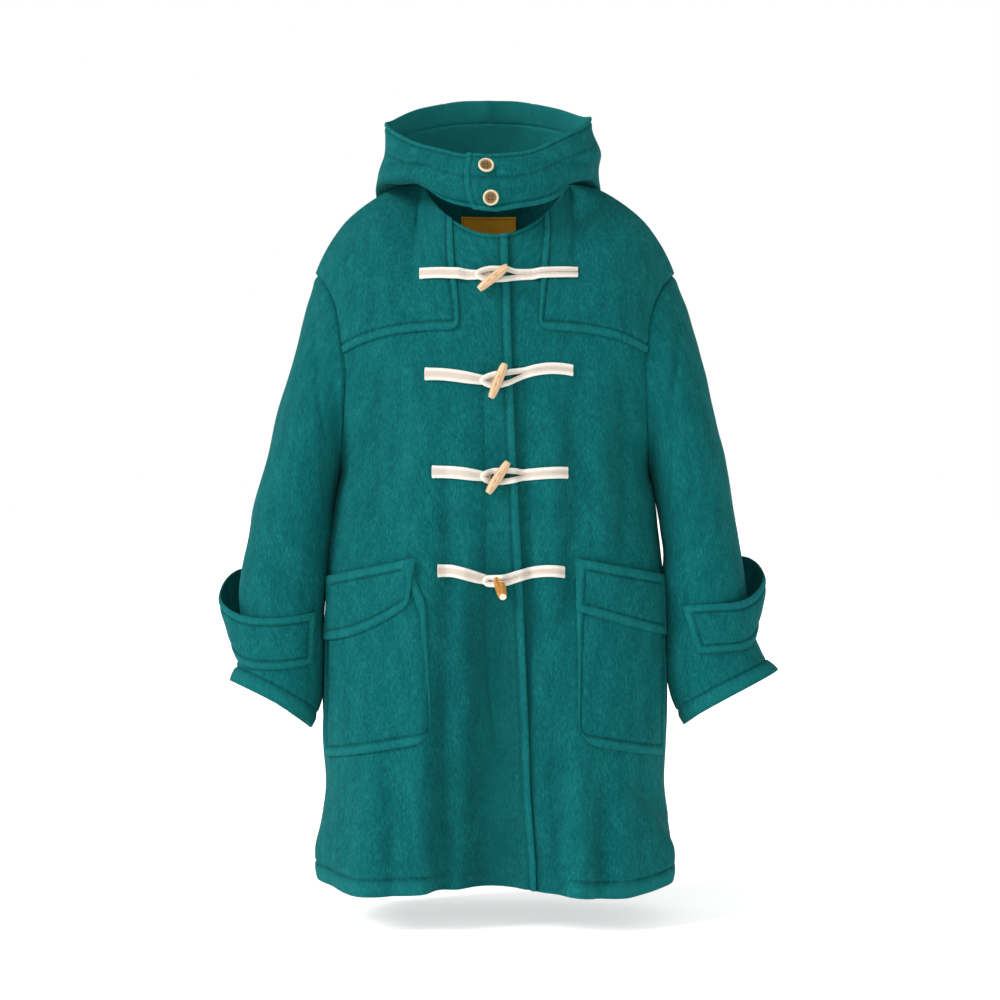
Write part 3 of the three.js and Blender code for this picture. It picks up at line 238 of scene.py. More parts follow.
def lower_point(side, face, out, centre):
    """A point below the chest. Along x it lies a share `out` of the half width away, and
    |x|^(2/k) + |y|^(2/k) is constant round a level, k being how square the body is."""
    armhole = ARMHOLE[face]
    power = FRONT_ROUND if face < 0 else BACK_ROUND
    depth_name = "front" if face < 0 else "back"
    share = of(ARM_LEVELS, "centre", "share", centre)
    at_armhole = centre < ARM_LEVELS["centre"][-1]
    edge_down = np.where(
        at_armhole, of(armhole, "share", "down", share), of(SEAM_LEVELS, "centre", "edge", centre))
    edge_x = np.where(at_armhole, of(armhole, "share", "x", share), of(BODY, "down", "side", edge_down))
    edge_y = np.where(at_armhole, np.abs(of(armhole, "share", "y", share)), 0)
    dip = of(DIP, "centre", "dip", centre) * np.sin(np.pi * out * out) * (RIGHT_DIP if side > 0 else 1)
    down = centre + (edge_down - centre) * out**4 + dip
    edge_cos = (edge_y / of(BODY, "down", depth_name, edge_down)) ** (1 / power)
    reach = (1 - edge_cos**2) ** (power / 2)
    depth = of(BODY, "down", depth_name, down)
    inside = np.maximum(0, 1 - (np.abs(out) * reach) ** (2 / power))
    x, y = side * out * edge_x, face * depth * inside ** (power / 2)
    wide = edge_x / reach
    turn = np.degrees(np.arctan2(x / wide, -y / depth))
    normal = unit(points(x / wide**2, y / depth**2, 0 * x))
    return points(x, y, -down) + normal * fold_depth(turn, down)[..., None]


def upper_point(side, face, top, low, share):
    """A point above the chest: a cubic from the neck or shoulder to the chest that starts and
    ends in the directions of `LEAVE`."""
    neck = FRONT_NECK if face < 0 else BACK_NECK
    reach = np.abs(top)
    y = np.where(reach <= NECK_POINT, of(neck, "x", "y", reach), of(SHOULDER, "x", "y", reach))
    down = np.where(reach <= NECK_POINT, of(neck, "x", "down", reach), of(SHOULDER, "x", "down", reach))
    start = points(side * top, y, -down)
    end = lower_point(side, face, low, CHEST)
    long = np.linalg.norm(end - start, axis=-1, keepdims=True)
    share_out = np.clip((reach - 60) / 90, 0, 1)[..., None]
    ways = {name: np.array(way) for name, way in LEAVE[face].items()}
    first = (ways["neck"] * (1 - share_out) + ways["shoulder"] * share_out) * long
    first[..., 0] *= side
    t = share[..., None]
    return (start * (1 - t) ** 2 * (1 + 2 * t) + end * t * t * (3 - 2 * t)
            + first * t * (1 - t) ** 2 - ways["chest"] * long * t * t * (1 - t))


def panel_surface(side, face, columns):
    """The panel as a function of a column's number and a level in mm down the centre. The
    column nearest the armhole is drawn onto it, and its neighbours follow."""
    number = np.arange(len(columns["top"]))

    def surface(column, level):
        column, level = np.broadcast_arrays(np.asarray(column, float), np.asarray(level, float))
        top, low, hem = (curve(number, columns[name], column) for name in ("top", "low", "hem"))
        share = np.clip(level / CHEST, 0, 1)
        upper = upper_point(side, face, top, low, share)
        last_top, last_low = np.full_like(top, columns["top"][-1]), np.full_like(top, columns["low"][-1])
        edge = upper_point(side, face, last_top, last_low, share)
        at = share * CHEST_SHARE
        armhole = ARMHOLE[face]
        target = points(
            side * of(armhole, "share", "x", at), of(armhole, "share", "y", at),
            -of(armhole, "share", "down", at))
        upper = upper + (target - edge) * np.maximum(0, low)[..., None] ** 6
        t = np.clip((level - CHEST) / (HEM - CHEST), 0, 1)
        lower = lower_point(side, face, low + (hem - low) * t, np.maximum(level, CHEST))
        result = np.where((level < CHEST)[..., None], upper, lower)
        if face < 0 and side < 0:
            over = 1 - smooth((-result[..., 0] - OVERLAP_FULL) / (OVERLAP_GONE - OVERLAP_FULL))
            result = result - points(0, 1, 0) * (CLOSURE_LIFT * over)[..., None]
        return result

    return surface


# %% The panels' surfaces
SURFACE = {
    "front_left": panel_surface(-1, -1, COLUMNS["front_left"]),
    "front_right": panel_surface(1, -1, COLUMNS["front_right"]),
    "back_left": panel_surface(-1, 1, COLUMNS["back"]),
    "back_right": panel_surface(1, 1, COLUMNS["back"]),
}


def back_surface(column, level):
    """The whole back: columns below zero lie on the viewer's left."""
    column, level = np.broadcast_arrays(np.asarray(column, float), np.asarray(level, float))
    left = SURFACE["back_left"](np.abs(column), level)
    right = SURFACE["back_right"](np.abs(column), level)
    return np.where((column < 0)[..., None], left, right)


SURFACE["back"] = back_surface
print("closing edge at the chest:", SURFACE["front_left"](0, 300).round(1))

# %% [markdown]
# ## The sleeves and the hood
#
# A sleeve starts on the armhole's own line and settles into an oval. The hood is a band
# round the neck: it rises from the throat, widens at the sides and falls behind in a bag that
# turns under and comes back up to the neck seam. A sleeve is measured at eleven sections and
# the hood at nine turns, and smooth lines run between them.

# %% Measurements of the sleeves
SLEEVE_NAMES = "outer outerDown inner innerDown deep settle fore hug lift"
SLEEVE = {
    -1: table(
        SLEEVE_NAMES, (231, 97, 199, 354, 80, 0, 0, 0, 0), (243, 132, 201, 361, 80, 0.4, 0, 0, 0),
        (258, 186, 204, 374, 79, 0.75, 1, 4, 0), (277, 262, 209, 396, 78, 0.95, 3, 10, 0),
        (296, 338, 214, 428, 76, 1, 6, 18, 0), (312, 394, 218.5, 463, 74, 1, 9, 20, 0),
        (319, 447, 219, 503, 72, 1, 12, 20, 0), (330, 501, 220.5, 549, 69, 1, 15, 16, 0),
        (328, 552, 221.5, 600, 66, 1, 18, 15, 1), (331, 592, 225, 645, 64, 1, 20, 14, 4),
        (342, 622, 236, 683, 63, 1, 21, 12, 10)),
    1: table(
        SLEEVE_NAMES, (231, 97, 199, 354, 80, 0, 0, 0, 0), (246, 132, 201, 361, 80, 0.4, 0, 0, 0),
        (264, 186, 204, 374, 79, 0.75, 1, 4, 0), (282, 262, 209, 396, 78, 0.95, 3, 10, 0),
        (299, 338, 214, 428, 76, 1, 6, 18, 0), (309, 394, 218.5, 463, 74, 1, 9, 20, 0),
        (315, 447, 219, 503, 72, 1, 12, 20, 0), (324, 501, 220.5, 549, 70, 1, 15, 16, 0),
        (329, 550, 221.5, 600, 68, 1, 18, 15, 1), (344, 588, 228, 643, 66, 1, 20, 14, 3),
        (364, 608, 243, 679, 65, 1, 21, 12, 6)),
}
# Turn, down the outside, across, along, lean and depth of each fold.
SLEEVE_FOLDS = (
    (55, 175, 45, 11, -0.55, -5), (70, 330, 40, 26, 0.5, 4), (100, 420, 45, 22, 0.6, -5),
    (60, 480, 40, 22, -0.4, 4), (-80, 300, 50, 28, 0.5, 4), (-100, 430, 45, 22, -0.5, -5))
ELBOW_TURN, INSIDE_TURN = -115.7, 141.4

# %% The sleeve as a function of turn and section
def sleeve_surface(side):
    """The sleeve as a function of the turn, from its outer side round the front, and of the
    section's number. The armhole's point and the oval's are mixed by `settle`."""
    rows = SLEEVE[side]
    number = np.arange(len(rows["outer"]))

    def surface(turn, section):
        turn, section = np.broadcast_arrays(np.asarray(turn, float), np.asarray(section, float))
        turn = (turn + 180) % 360 - 180
        away = np.abs(turn)
        share = np.where(
            away <= 90, CHEST_SHARE * away / 90, CHEST_SHARE + (1 - CHEST_SHARE) * (away - 90) / 90)
        front = turn >= 0
        start = np.where(front[..., None], *[
            points(side * of(ARMHOLE[f], "share", "x", share), of(ARMHOLE[f], "share", "y", share),
                   -of(ARMHOLE[f], "share", "down", share)) for f in (-1, 1)])
        row = {name: curve(number, rows[name], section) for name in rows}
        cos, sin = np.cos(np.radians(turn)), np.sin(np.radians(turn))
        x = side * ((row["outer"] + row["inner"]) / 2 + (row["outer"] - row["inner"]) / 2 * cos)
        y = -row["fore"] - row["deep"] * sin
        z = -(row["outerDown"] + row["innerDown"]) / 2 - (row["outerDown"] - row["innerDown"]) / 2 * cos
        x = x - side * row["hug"] * sin * (0.5 - 0.5 * cos)
        z = z + row["lift"] * np.maximum(0, sin)
        settle = row["settle"][..., None]
        place = start * (1 - settle) + points(x, y, z) * settle
        bend = np.zeros_like(turn)
        for at, down, across, along, lean, depth in SLEEVE_FOLDS:
            run = row["outerDown"] - down + lean * (turn - at)
            bend = bend + depth * bell((turn - at) / across) * bell(run / along)
        outward = unit(points(side * cos, -sin, 0 * sin))
        return place + outward * (bend * row["settle"])[..., None]

    return surface


SURFACE["sleeve_left"], SURFACE["sleeve_right"] = sleeve_surface(-1), sleeve_surface(1)
SECTIONS = len(SLEEVE[-1]["outer"]) - 1

# %% Measurements of the hood
HOOD_KEYS = (0, 0.22, 0.42, 0.55, 0.7, 0.86, 1)
HOOD_TURNS = (0, 30, 58, 78, 92, 110, 130, 155, 180)
HOOD_R = np.array([
    (84, 94, 93, 91.5, 90.5, 89.5, 88.5), (88, 99, 98, 96, 95, 93.5, 92),
    (103, 115, 118, 114, 109, 104, 99), (122, 131, 136, 133, 122, 109, 99),
    (134, 133, 142, 144, 129, 111, 96), (132, 136, 152, 156, 138, 112, 93),
    (118, 138, 166, 172, 144, 107, 84), (98, 129, 163, 167, 138, 99, 77),
    (85, 123, 160, 164, 134, 95, 75)], float)
HOOD_Z = np.array([
    (42, 20, 0, -8, -15, -21, -27), (47, 26, 8, 0, -7, -13, -19), (62, 42, 22, 13, 7, 2, -3),
    (83, 54, 32, 18, 13, 13, 16), (103, 62, 35, 20, 22, 26, 27), (112.5, 68, 24, 0, 8, 22, 25),
    (129, 74, 6, -50, -36, 9, 20), (140, 76, -20, -98, -84, 3, 17),
    (141, 78, -30, -112, -98, 4, 15)], float)
HOOD_AXIS_Y, RIM_SHIFT = -13, -9
HOOD_SEAM, TAB_END, UNDER_TAB_END, TAB_BLEND, TAB_LIFT = 146, -17, 14, 26, 4.2
# Turn, share down, across, along, lean and depth of each fold.
HOOD_FOLDS = (
    (-62, 0.34, 26, 0.05, -0.004, -5), (-50, 0.2, 22, 0.05, -0.004, 3),
    (60, 0.3, 24, 0.05, 0.004, -5), (96, 0.24, 26, 0.11, 0, 12),
    (86, 0.56, 14, 0.12, 0, -8), (82, 0.36, 10, 0.04, 0.004, -4),
    (160, 0.45, 20, 0.1, 0.002, 4), (-150, 0.5, 18, 0.1, -0.002, -4))
# Where the rim and the neck edge rise or dip unevenly.
HOOD_RISES = (
    (-98, 16, -6, 0), (-40, 20, 2.5, 0), (65, 24, 8, 0), (-62, 16, 0, 12), (76, 14, 0, 10))

# %% The hood as a function of turn and height
def by_key(values, turn, at):
    """First a smooth line through each key's values at `turn`, then one through the keys."""
    rows = [curve(HOOD_TURNS, values[:, k], turn) for k in range(len(HOOD_KEYS))]
    return curve(HOOD_KEYS, rows, at)


def hood_surface(turn, at):
    """The hood as a function of the turn from the throat and the share down from its rim."""
    turn, at = np.broadcast_arrays(np.asarray(turn, float), np.asarray(at, float))
    turn = (turn + 180) % 360 - 180
    away = np.abs(turn)
    bend = np.zeros_like(turn)
    for place, share, across, along, lean, depth in HOOD_FOLDS:
        run = at - share - lean * (turn - place)
        bend = bend + depth * bell((turn - place) / across) * bell(run / along)
    r = by_key(HOOD_R, away, at) + bend
    x = np.sign(turn) * r * np.sin(np.radians(away)) + RIM_SHIFT * (1 - at**3)
    z = by_key(HOOD_Z, away, at)
    for place, across, rim, neck in HOOD_RISES:
        z = z + bell((turn - place) / across) * (rim * (1 - at) ** 2 + neck * at**2)
    return points(x, HOOD_AXIS_Y - r * np.cos(np.radians(away)), z)


SURFACE["hood"] = hood_surface
print("hood rim behind:", hood_surface(180, 0).round(1))

# %% [markdown]
# ## From a surface to a shell of cloth
#
# Thick wool never ends in a sharp edge: it is turned and topstitched, so an edge is round,
# swells a little towards the stitch line and dips there. A shell is therefore built from its
# outer points, the same points moved in by the cloth's thickness, and a rounded rim that
# joins them. Normals come from the surface's own slopes, so two panels agree at their seam.

# %% Points, normals and distances on a surface
def sampled(surface, a, b, inside, steps=(0.02, 0.4)):
    """Points of the surface on the grid of a and b, and the unit normals that point away from
    `inside`: the cross product of the slopes along a and along b."""
    a, b = np.broadcast_arrays(np.asarray(a, float), np.asarray(b, float))
    place = surface(a, b)
    along = surface(a + steps[0], b) - surface(a - steps[0], b)
    down = surface(a, b + steps[1]) - surface(a, b - steps[1])
    normal = unit(np.cross(along, down))
    sign = np.sign(np.sum(normal * (place - inside(place))))
    return place, normal * sign


def run(place, axis, from_last=False):
    """The distance walked over the cloth along one axis of a grid, from its first or last
    line: the running sum of the steps' lengths."""
    step = np.linalg.norm(np.diff(place, axis=axis), axis=-1)
    start = np.zeros_like(np.take(step, [0], axis=axis))
    total = np.concatenate([start, np.cumsum(step, axis=axis)], axis=axis)
    return np.take(total, [-1], axis=axis) - total if from_last else total


WAVES = (
    (131, (0.9, 0.3, 0.5), 0.4, 0.9), (97, (-0.4, 0.5, 0.8), 1.7, 0.6),
    (71, (0.7, -0.6, 0.35), 2.9, 0.45), (53, (0.2, 0.9, -0.5), 4.1, 0.3),
    (37, (-0.8, 0.2, 0.6), 5.2, 0.2))


def waver(place):
    """Hand-made unevenness: a few sine waves through space, each with its length, direction,
    phase and height in mm."""
    total = np.zeros(place.shape[:-1])
    for length, way, phase, height in WAVES:
        way = np.array(way) / np.linalg.norm(way)
        total = total + height * np.sin(place @ way * 2 * np.pi / length + phase)
    return total


def turned_edge(distance, inset, swell=1.0, groove=1.7, width=1.8):
    """The relief of a topstitched edge: it swells as a half sine between the edge and the
    stitch line, and a bell-shaped groove `groove` deep follows the line. Beyond it the cloth
    swells again a little."""
    lip = np.where(distance < inset, np.sin(np.pi * np.clip(distance / inset, 0, 1)), 0)
    beyond = 0.5 * bell((distance - 2 * inset) / inset * 2)
    return swell * lip - groove * bell((distance - inset) / width) + beyond


def painted_edge_shading(distance, inset):
    """1 on the raised edge, a painted highlight where fibre ends catch the light, and -1 in the groove,
    painted shade.
    """
    return bell((distance - inset * 0.4) / (inset * 0.42)) - bell((distance - inset) / 1.6)


def rounded(a, b, radius):
    """The distance to the outline of a corner of that radius, from the distances to its two
    straight edges."""
    near = radius - np.hypot(np.maximum(radius - a, 0), np.maximum(radius - b, 0))
    return np.where((a < radius) & (b < radius), near, np.minimum(a, b))


# %% Build a shell's mesh
RIM_STEPS = 4
pieces = []


def shell(name, place, normal, low, high, lip=0, inside=0.0):
    """A closed shell. Its two faces are the grid moved by `low` and by `high` along the
    normals, and between them the rim is half a circle swept round the border. `lip` goes to
    the outer face and the rim and `inside` to the inner one; on wool they paint highlight and
    shade, on the label its woven border."""
    rows, cols = place.shape[:2]
    outer = place + normal * np.broadcast_to(high, (rows, cols))[..., None]
    inner = place + normal * np.broadcast_to(low, (rows, cols))[..., None]
    grid = np.arange(rows * cols).reshape(rows, cols)
    border = np.concatenate([grid[0, :-1], grid[:-1, -1], grid[-1, :0:-1], grid[:0:-1, 0]])
    j, i = np.divmod(border, cols)
    back_j = np.clip(j, 1, rows - 2)
    back_i = np.clip(i, 1, cols - 2)
    outward = unit(place[j, i] - place[back_j, back_i])
    outward = unit(outward - normal[j, i] * np.sum(outward * normal[j, i], -1, keepdims=True))
    middle = (outer[j, i] + inner[j, i]) / 2
    half = (outer[j, i] - inner[j, i]) / 2
    reach = np.linalg.norm(half, axis=-1, keepdims=True)
    angles = np.pi * np.arange(1, RIM_STEPS) / RIM_STEPS
    loops = [middle + half * np.cos(t) + outward * reach * np.sin(t) for t in angles]
    verts = np.concatenate([outer.reshape(-1, 3), inner.reshape(-1, 3), *loops])
    count = rows * cols
    quads = np.stack([grid[:-1, :-1], grid[:-1, 1:], grid[1:, 1:], grid[1:, :-1]], -1).reshape(-1, 4)
    faces = [quads, quads[:, ::-1] + count]
    rings = [border] + [2 * count + k * len(border) + np.arange(len(border)) for k in range(len(loops))]
    rings.append(border + count)
    for upper, lower in zip(rings, rings[1:]):
        faces.append(np.stack([upper, lower, np.roll(lower, -1), np.roll(upper, -1)], -1))
    faces = np.concatenate(faces)
    across = run(place, 1)
    uv = np.stack([across - across.mean(1, keepdims=True), run(place, 0)], -1).reshape(-1, 2) * MM
    uv = np.concatenate([uv, uv + 0.37, *[uv[border]] * len(loops)])
    lip = np.broadcast_to(lip, (rows, cols)).reshape(-1)
    # The rim takes at least half of the outer face's `lip`: on wool a painted highlight on the rounded edge.
    lip = np.concatenate([lip, 0 * lip + inside, *[np.maximum(lip[border], 0.5)] * len(loops)])
    return mesh(name, verts, faces, uv, lip)


# %% Make a mesh and hang it on the coat
def mesh(name, verts, faces, uv, lip=None):
    """A mesh object from arrays, in metres, with its faces turned to point outwards: six
    times the volume is the sum of a . (b x c) over the triangles of its faces."""
    a, b, c, d = (verts[faces[:, k]] for k in range(4))
    volume = np.sum(a * np.cross(b, c)) + np.sum(a * np.cross(c, d))
    if volume < 0:
        faces = faces[:, ::-1]
    data = bpy.data.meshes.new(name)
    data.from_pydata((verts * MM).tolist(), [], faces.tolist())
    data.validate()
    data.shade_smooth()
    corner = np.zeros(len(data.loops), np.int32)
    data.loops.foreach_get("vertex_index", corner)
    layer = data.uv_layers.new(name="cloth")
    layer.data.foreach_set("uv", uv[corner].astype(np.float32).ravel())
    if lip is not None:
        attribute = data.attributes.new("lip", "FLOAT", "POINT")
        attribute.data.foreach_set("value", np.asarray(lip, np.float32))
    piece = bpy.data.objects.new(name, data)
    bpy.context.scene.collection.objects.link(piece)
    pieces.append(piece)
    return piece


def dress(piece, finish, node_name):
    """Hangs the piece on the coat's one body, in place of its solid."""
    piece.data.materials.append(finish)
    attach(piece, "root")
    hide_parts(node_name)


def declare(piece, place, finish, node_name):
    """Dresses a solid in a piece of cloth and states its cut: as wide and long as the cloth
    measures, with the area that the grid covers."""
    dress(piece, finish, node_name)
    wide, long = run(place, 1)[:, -1].max(), run(place, 0)[-1].max()
    a, b = np.diff(place, axis=0)[:, :-1], np.diff(place, axis=1)[:-1]
    area = np.linalg.norm(np.cross(a, b), axis=-1).sum()
    area = min(area, wide * long) * MM * MM
    print(f"{piece.name}: {wide:.0f} x {long:.0f} mm, {area:.3f} m2, {len(piece.data.polygons)} faces")


print("a rim has", RIM_STEPS, "faces from the outer to the inner side of the cloth")

# %% [markdown]
# ## Wool
#
# The cloth is a thick woven wool, milled and brushed so that its fibres lie in one direction,
# down the garment. To the eye that is a deep matt teal with lighter and darker streaks about
# 9 mm long, finer fibres between them, a broad faint mottling, a soft bump, and a pale bloom
# where the surface turns away, because fibre ends stand up there. Hair by hair it would be
# millions of strands, and stretched noise gives the same look at this distance. The streaks
# follow the grain of each piece, so they read its own UV map, which is laid out in metres.

# %% Colours and a helper for nodes
def linear(text):
    """An sRGB hex colour as linear values: ((c + 0.055) / 1.055)^2.4 above 0.04."""
    srgb = np.array([int(text[k:k + 2], 16) for k in (1, 3, 5)]) / 255
    value = np.where(srgb <= 0.04045, srgb / 12.92, ((srgb + 0.055) / 1.055) ** 2.4)
    return (*value, 1.0)


def node(tree, kind, links=None, **settings):
    """One node with its settings. `links` joins its inputs, by name or number, to sockets or
    gives them plain values."""
    made = tree.nodes.new(kind)
    for key, value in settings.items():
        setattr(made, key, value)
    for key, value in (links or {}).items():
        socket = made.inputs[key]
        if isinstance(value, bpy.types.NodeSocket):
            tree.links.new(value, socket)
        else:
            socket.default_value = value
    return made


def maths(tree, operation, *values, **settings):
    """The result of one maths node, whose inputs in order are sockets or plain numbers."""
    return node(tree, "ShaderNodeMath", dict(enumerate(values)), operation=operation, **settings).outputs[0]


def cloth_uv(tree):
    """The piece's own UV map."""
    return node(tree, "ShaderNodeUVMap", uv_map="cloth").outputs["UV"]


def lip_shade(tree):
    """The attribute `lip` of the mesh: painted highlight and shade on wool, the parts' own colour marks on
    wood, horn and the label.
    """
    return node(tree, "ShaderNodeAttribute", attribute_name="lip").outputs["Fac"]


def bump(tree, shader, height, strength, distance):
    """Bends the shader's normal by a height."""
    made = node(tree, "ShaderNodeBump", {"Height": height, "Strength": strength, "Distance": distance})
    tree.links.new(made.outputs[0], shader.inputs["Normal"])


def blend(tree, share, first, second, **settings):
    """A mix of two colours."""
    made = node(tree, "ShaderNodeMix", {0: share, 6: first, 7: second}, data_type="RGBA", **settings)
    return made.outputs[2]


def stretched_noise(tree, vector, wide, long, detail, **settings):
    """Noise whose grains are `wide` across the piece and `long` down it."""
    grain = node(tree, "ShaderNodeMapping", {"Vector": vector, "Scale": (1 / wide, 1 / long, 1)})
    values = {"Vector": grain.outputs[0], "Scale": 1.0, "Detail": detail, **settings}
    return node(tree, "ShaderNodeTexNoise", values).outputs["Fac"]


def material(name, **sockets):
    """A material with a Principled shader whose own sockets hold the plain values."""
    made = bpy.data.materials.new(name)
    made.use_nodes = True
    shader = made.node_tree.nodes["Principled BSDF"]
    for key, value in sockets.items():
        shader.inputs[key.replace("_", " ")].default_value = value
    return made, made.node_tree, shader


def ramp(tree, value, *stops):
    """A colour ramp from (place, hex) stops."""
    made = node(tree, "ShaderNodeValToRGB", {"Fac": value})
    elements = made.color_ramp.elements
    while len(elements) < len(stops):
        elements.new(0.5)
    for element, (place, text) in zip(elements, stops):
        element.position = place
        element.color = linear(text)
    return made.outputs["Color"]


# %% The stitches in a groove
STITCH_STEP, STITCH_SHARE = 3.8 * MM, 0.7


def stitches(tree, uv, sunk):
    """1 on the thread: along the line, the fraction of (u + v) / STITCH_STEP below
    STITCH_SHARE, and across it only the bottom of the groove."""
    apart = node(tree, "ShaderNodeSeparateXYZ", {0: uv})
    total = maths(tree, "ADD", apart.outputs[0], apart.outputs[1])
    part = maths(tree, "FRACT", maths(tree, "MULTIPLY", total, 1 / STITCH_STEP))
    dash = maths(tree, "LESS_THAN", part, STITCH_SHARE)
    bottom = node(tree, "ShaderNodeMapRange", {0: sunk, 1: 0.38, 2: 0.5, 3: 0.0, 4: 1.0}).outputs[0]
    return maths(tree, "MULTIPLY", dash, bottom)


# %% Brushed wool
STREAK_WIDE, STREAK_LONG, STREAK_SHARE = 2.4 * MM, 9 * MM, 0.42
FIBRE_WIDE, FIBRE_LONG, FIBRE_SHARE = 1.3 * MM, 4 * MM, 0.33
BAND_WIDE, BAND_LONG, BAND_SHARE = 18 * MM, 50 * MM, 0.25
SWAY, SWAY_BY = 14 * MM, (9 * MM, 4 * MM, 0)
# How much painted highlight and painted shade the attribute `lip` brings, and how much the thread shows.
PAINTED_HIGHLIGHT, PAINTED_SHADE, THREAD = 0.2, 0.55, 0.6


def brushed_wool(name, dark, middle, light, edge, deep):
    """Streaks, fibres and broad bands of noise are added up and coloured by a ramp. Slow noise
    bends them all. The attribute `lip` paints a highlight in the colour `edge` on raised edges,
    ridges and the hood's inside, and paints shade in the colour `deep` in troughs and in the
    grooves, where the stitches lie."""
    made, tree, shader = material(name, Roughness=0.95, Specular_IOR_Level=0.12, Sheen_Weight=0.12,
                                  Sheen_Roughness=0.5, Sheen_Tint=linear("#3fb3aa"))
    uv = cloth_uv(tree)
    slow = node(tree, "ShaderNodeTexNoise", {"Vector": uv, "Scale": 1 / SWAY, "Detail": 2.0})
    centred = node(tree, "ShaderNodeVectorMath", {0: slow.outputs["Color"], 1: (0.5, 0.5, 0.5)},
                   operation="SUBTRACT")
    sway = node(tree, "ShaderNodeVectorMath", {0: centred.outputs[0], 1: SWAY_BY}, operation="MULTIPLY")
    bent = node(tree, "ShaderNodeVectorMath", {0: uv, 1: sway.outputs[0]}, operation="ADD").outputs[0]
    streak = stretched_noise(tree, bent, STREAK_WIDE, STREAK_LONG, 3.0, Roughness=0.6)
    fibre = stretched_noise(tree, bent, FIBRE_WIDE, FIBRE_LONG, 2.0, Roughness=0.6)
    band = stretched_noise(tree, uv, BAND_WIDE, BAND_LONG, 2.0, Roughness=0.6)
    nap = maths(tree, "MULTIPLY", streak, STREAK_SHARE)
    nap = maths(tree, "MULTIPLY_ADD", fibre, FIBRE_SHARE, nap)
    nap = maths(tree, "MULTIPLY_ADD", band, BAND_SHARE, nap)
    colour = ramp(tree, nap, (0.36, dark), (0.5, middle), (0.66, light))
    lip = lip_shade(tree)
    raised = maths(tree, "MULTIPLY", lip, PAINTED_HIGHLIGHT, use_clamp=True)
    sunk = maths(tree, "MULTIPLY", lip, -PAINTED_SHADE, use_clamp=True)
    thread = stitches(tree, uv, sunk)
    colour = blend(tree, raised, colour, linear(edge))
    colour = blend(tree, sunk, colour, linear(deep))
    colour = blend(tree, maths(tree, "MULTIPLY", thread, THREAD), colour, linear(middle))
    tree.links.new(colour, shader.inputs["Base Color"])
    bump(tree, shader, maths(tree, "MULTIPLY_ADD", thread, 0.5, nap), 0.4, 1.2 * MM)
    return made


# The last two colours are the painted highlight and the painted shade.
WOOL = brushed_wool("brushed_wool_teal", "#00444a", "#015758", "#156d6c", "#1d807e", "#002b2d")
print("wool nodes:", len(WOOL.node_tree.nodes))

# %% [markdown]
# ## Fronts and back
#
# The left front lies over the right one and carries the topstitched closing edge. Both have a
# turned edge at the neck, and a hem stitched about 20 mm up on the outer parts. A worn coat
# keeps soft creases: a broad hollow runs down the closure, and long troughs and ridges hang
# from the yokes and beside the pockets. Each is placed where the photo shows it, with
# similar ones on the back, because simulated cloth would fall in folds of its own.

# %% Grids for the panels
NECK_INSET, CLOSING_INSET, HEM_INSET = 5, 9.5, 20
SEAM_GAP = 0.02
to_axis = lambda p: p * np.array([0, 0, 1])


def panel_grid(name, step=5, first_mark=None):
    """Column numbers and levels for a front: even in mm along its chest line, and crowded
    where a groove needs it."""
    surface = SURFACE[name]
    dense = np.linspace(0, len(COLUMNS[name]["top"]) - 1, 400)
    walked = run(surface(dense, 520)[None], 1)[0]
    marks = [] if first_mark is None else [0, first_mark]
    columns = np.interp(stations(walked[-1] - SEAM_GAP, step, marks), walked, dense)
    levels = stations(HEM, step, [0, NECK_INSET * 1.4, HEM - HEM_INSET, HEM])
    return columns[None, :], levels[:, None]


# %% Creases
# The x where each runs at its top and bottom, how far down it starts and ends, its half width
# and its depth. Negative is a trough.
# The last is how much painted shade and painted light a mm of crease depth brings.
CREASE_SWAY, CREASE_SWAY_EVERY, CREASE_PAINTED_SHADING = 2.5, 61, 0.05
CREASES = {
    "front_left": table(
        "x_top x_low start end wide deep", (-58, -72, 225, 1050, 11, -7.5), (-98, -108, 180, 620, 18, 4.5),
        (-9, 8, 130, 800, 13, -9), (-38, -36, 200, 1000, 12, 3.2), (-148, -154, 190, 480, 13, -5),
        (-12, 8, 380, 1150, 46, -17), (-90, -98, 560, 1050, 14, 6), (-132, -128, 700, 1040, 10, -6),
        (-162, -168, 690, 1000, 14, 5)),
    "front_right": table(
        "x_top x_low start end wide deep", (34, 46, 150, 700, 8, -4.5), (64, 76, 190, 620, 17, 4.5),
        (98, 92, 210, 600, 11, -5), (132, 138, 190, 520, 15, 4), (160, 164, 200, 480, 10, -5),
        (-12, 8, 380, 1150, 46, -17), (80, 72, 560, 1050, 12, -6), (104, 108, 640, 1050, 16, 6),
        (136, 132, 720, 1040, 10, -6), (162, 168, 700, 1000, 14, 5)),
    "back": table(
        "x_top x_low start end wide deep", (-150, -160, 250, 960, 14, -2.6), (-96, -104, 230, 960, 14, 2.6),
        (-40, -44, 260, 960, 13, -2.4), (22, 30, 240, 960, 15, 2.4), (76, 84, 260, 960, 12, -2.6),
        (134, 146, 250, 960, 14, 2.6)),
}


def creases(name, place):
    """The sum over the creases of deep x bell(x away / wide) x a smooth rise and fall."""
    total = np.zeros(place.shape[:-1])
    for k, (top, low, start, end, wide, deep) in enumerate(zip(*CREASES[name].values())):
        share = (-place[..., 2] - start) / (end - start)
        x = top + (low - top) * share + CREASE_SWAY * np.sin(-place[..., 2] / CREASE_SWAY_EVERY + k)
        grow = smooth(share / 0.3) * smooth((1 - share) / 0.25)
        total = total + deep * grow * bell((place[..., 0] - x) / wide)
    return total


def painted_crease_shading(name, place):
    """Painted shade in a trough and painted light on a ridge, in proportion to the crease's depth."""
    return CREASE_PAINTED_SHADING * creases(name, place)


def body_base(name, place):
    """What every layer on a body panel follows: unevenness and creases, fading to nothing at
    the neck and shoulder."""
    return waver(place) * smooth(run(place, 0) / 40) + creases(name, place)


print("creases:", {name: len(rows["deep"]) for name, rows in CREASES.items()})
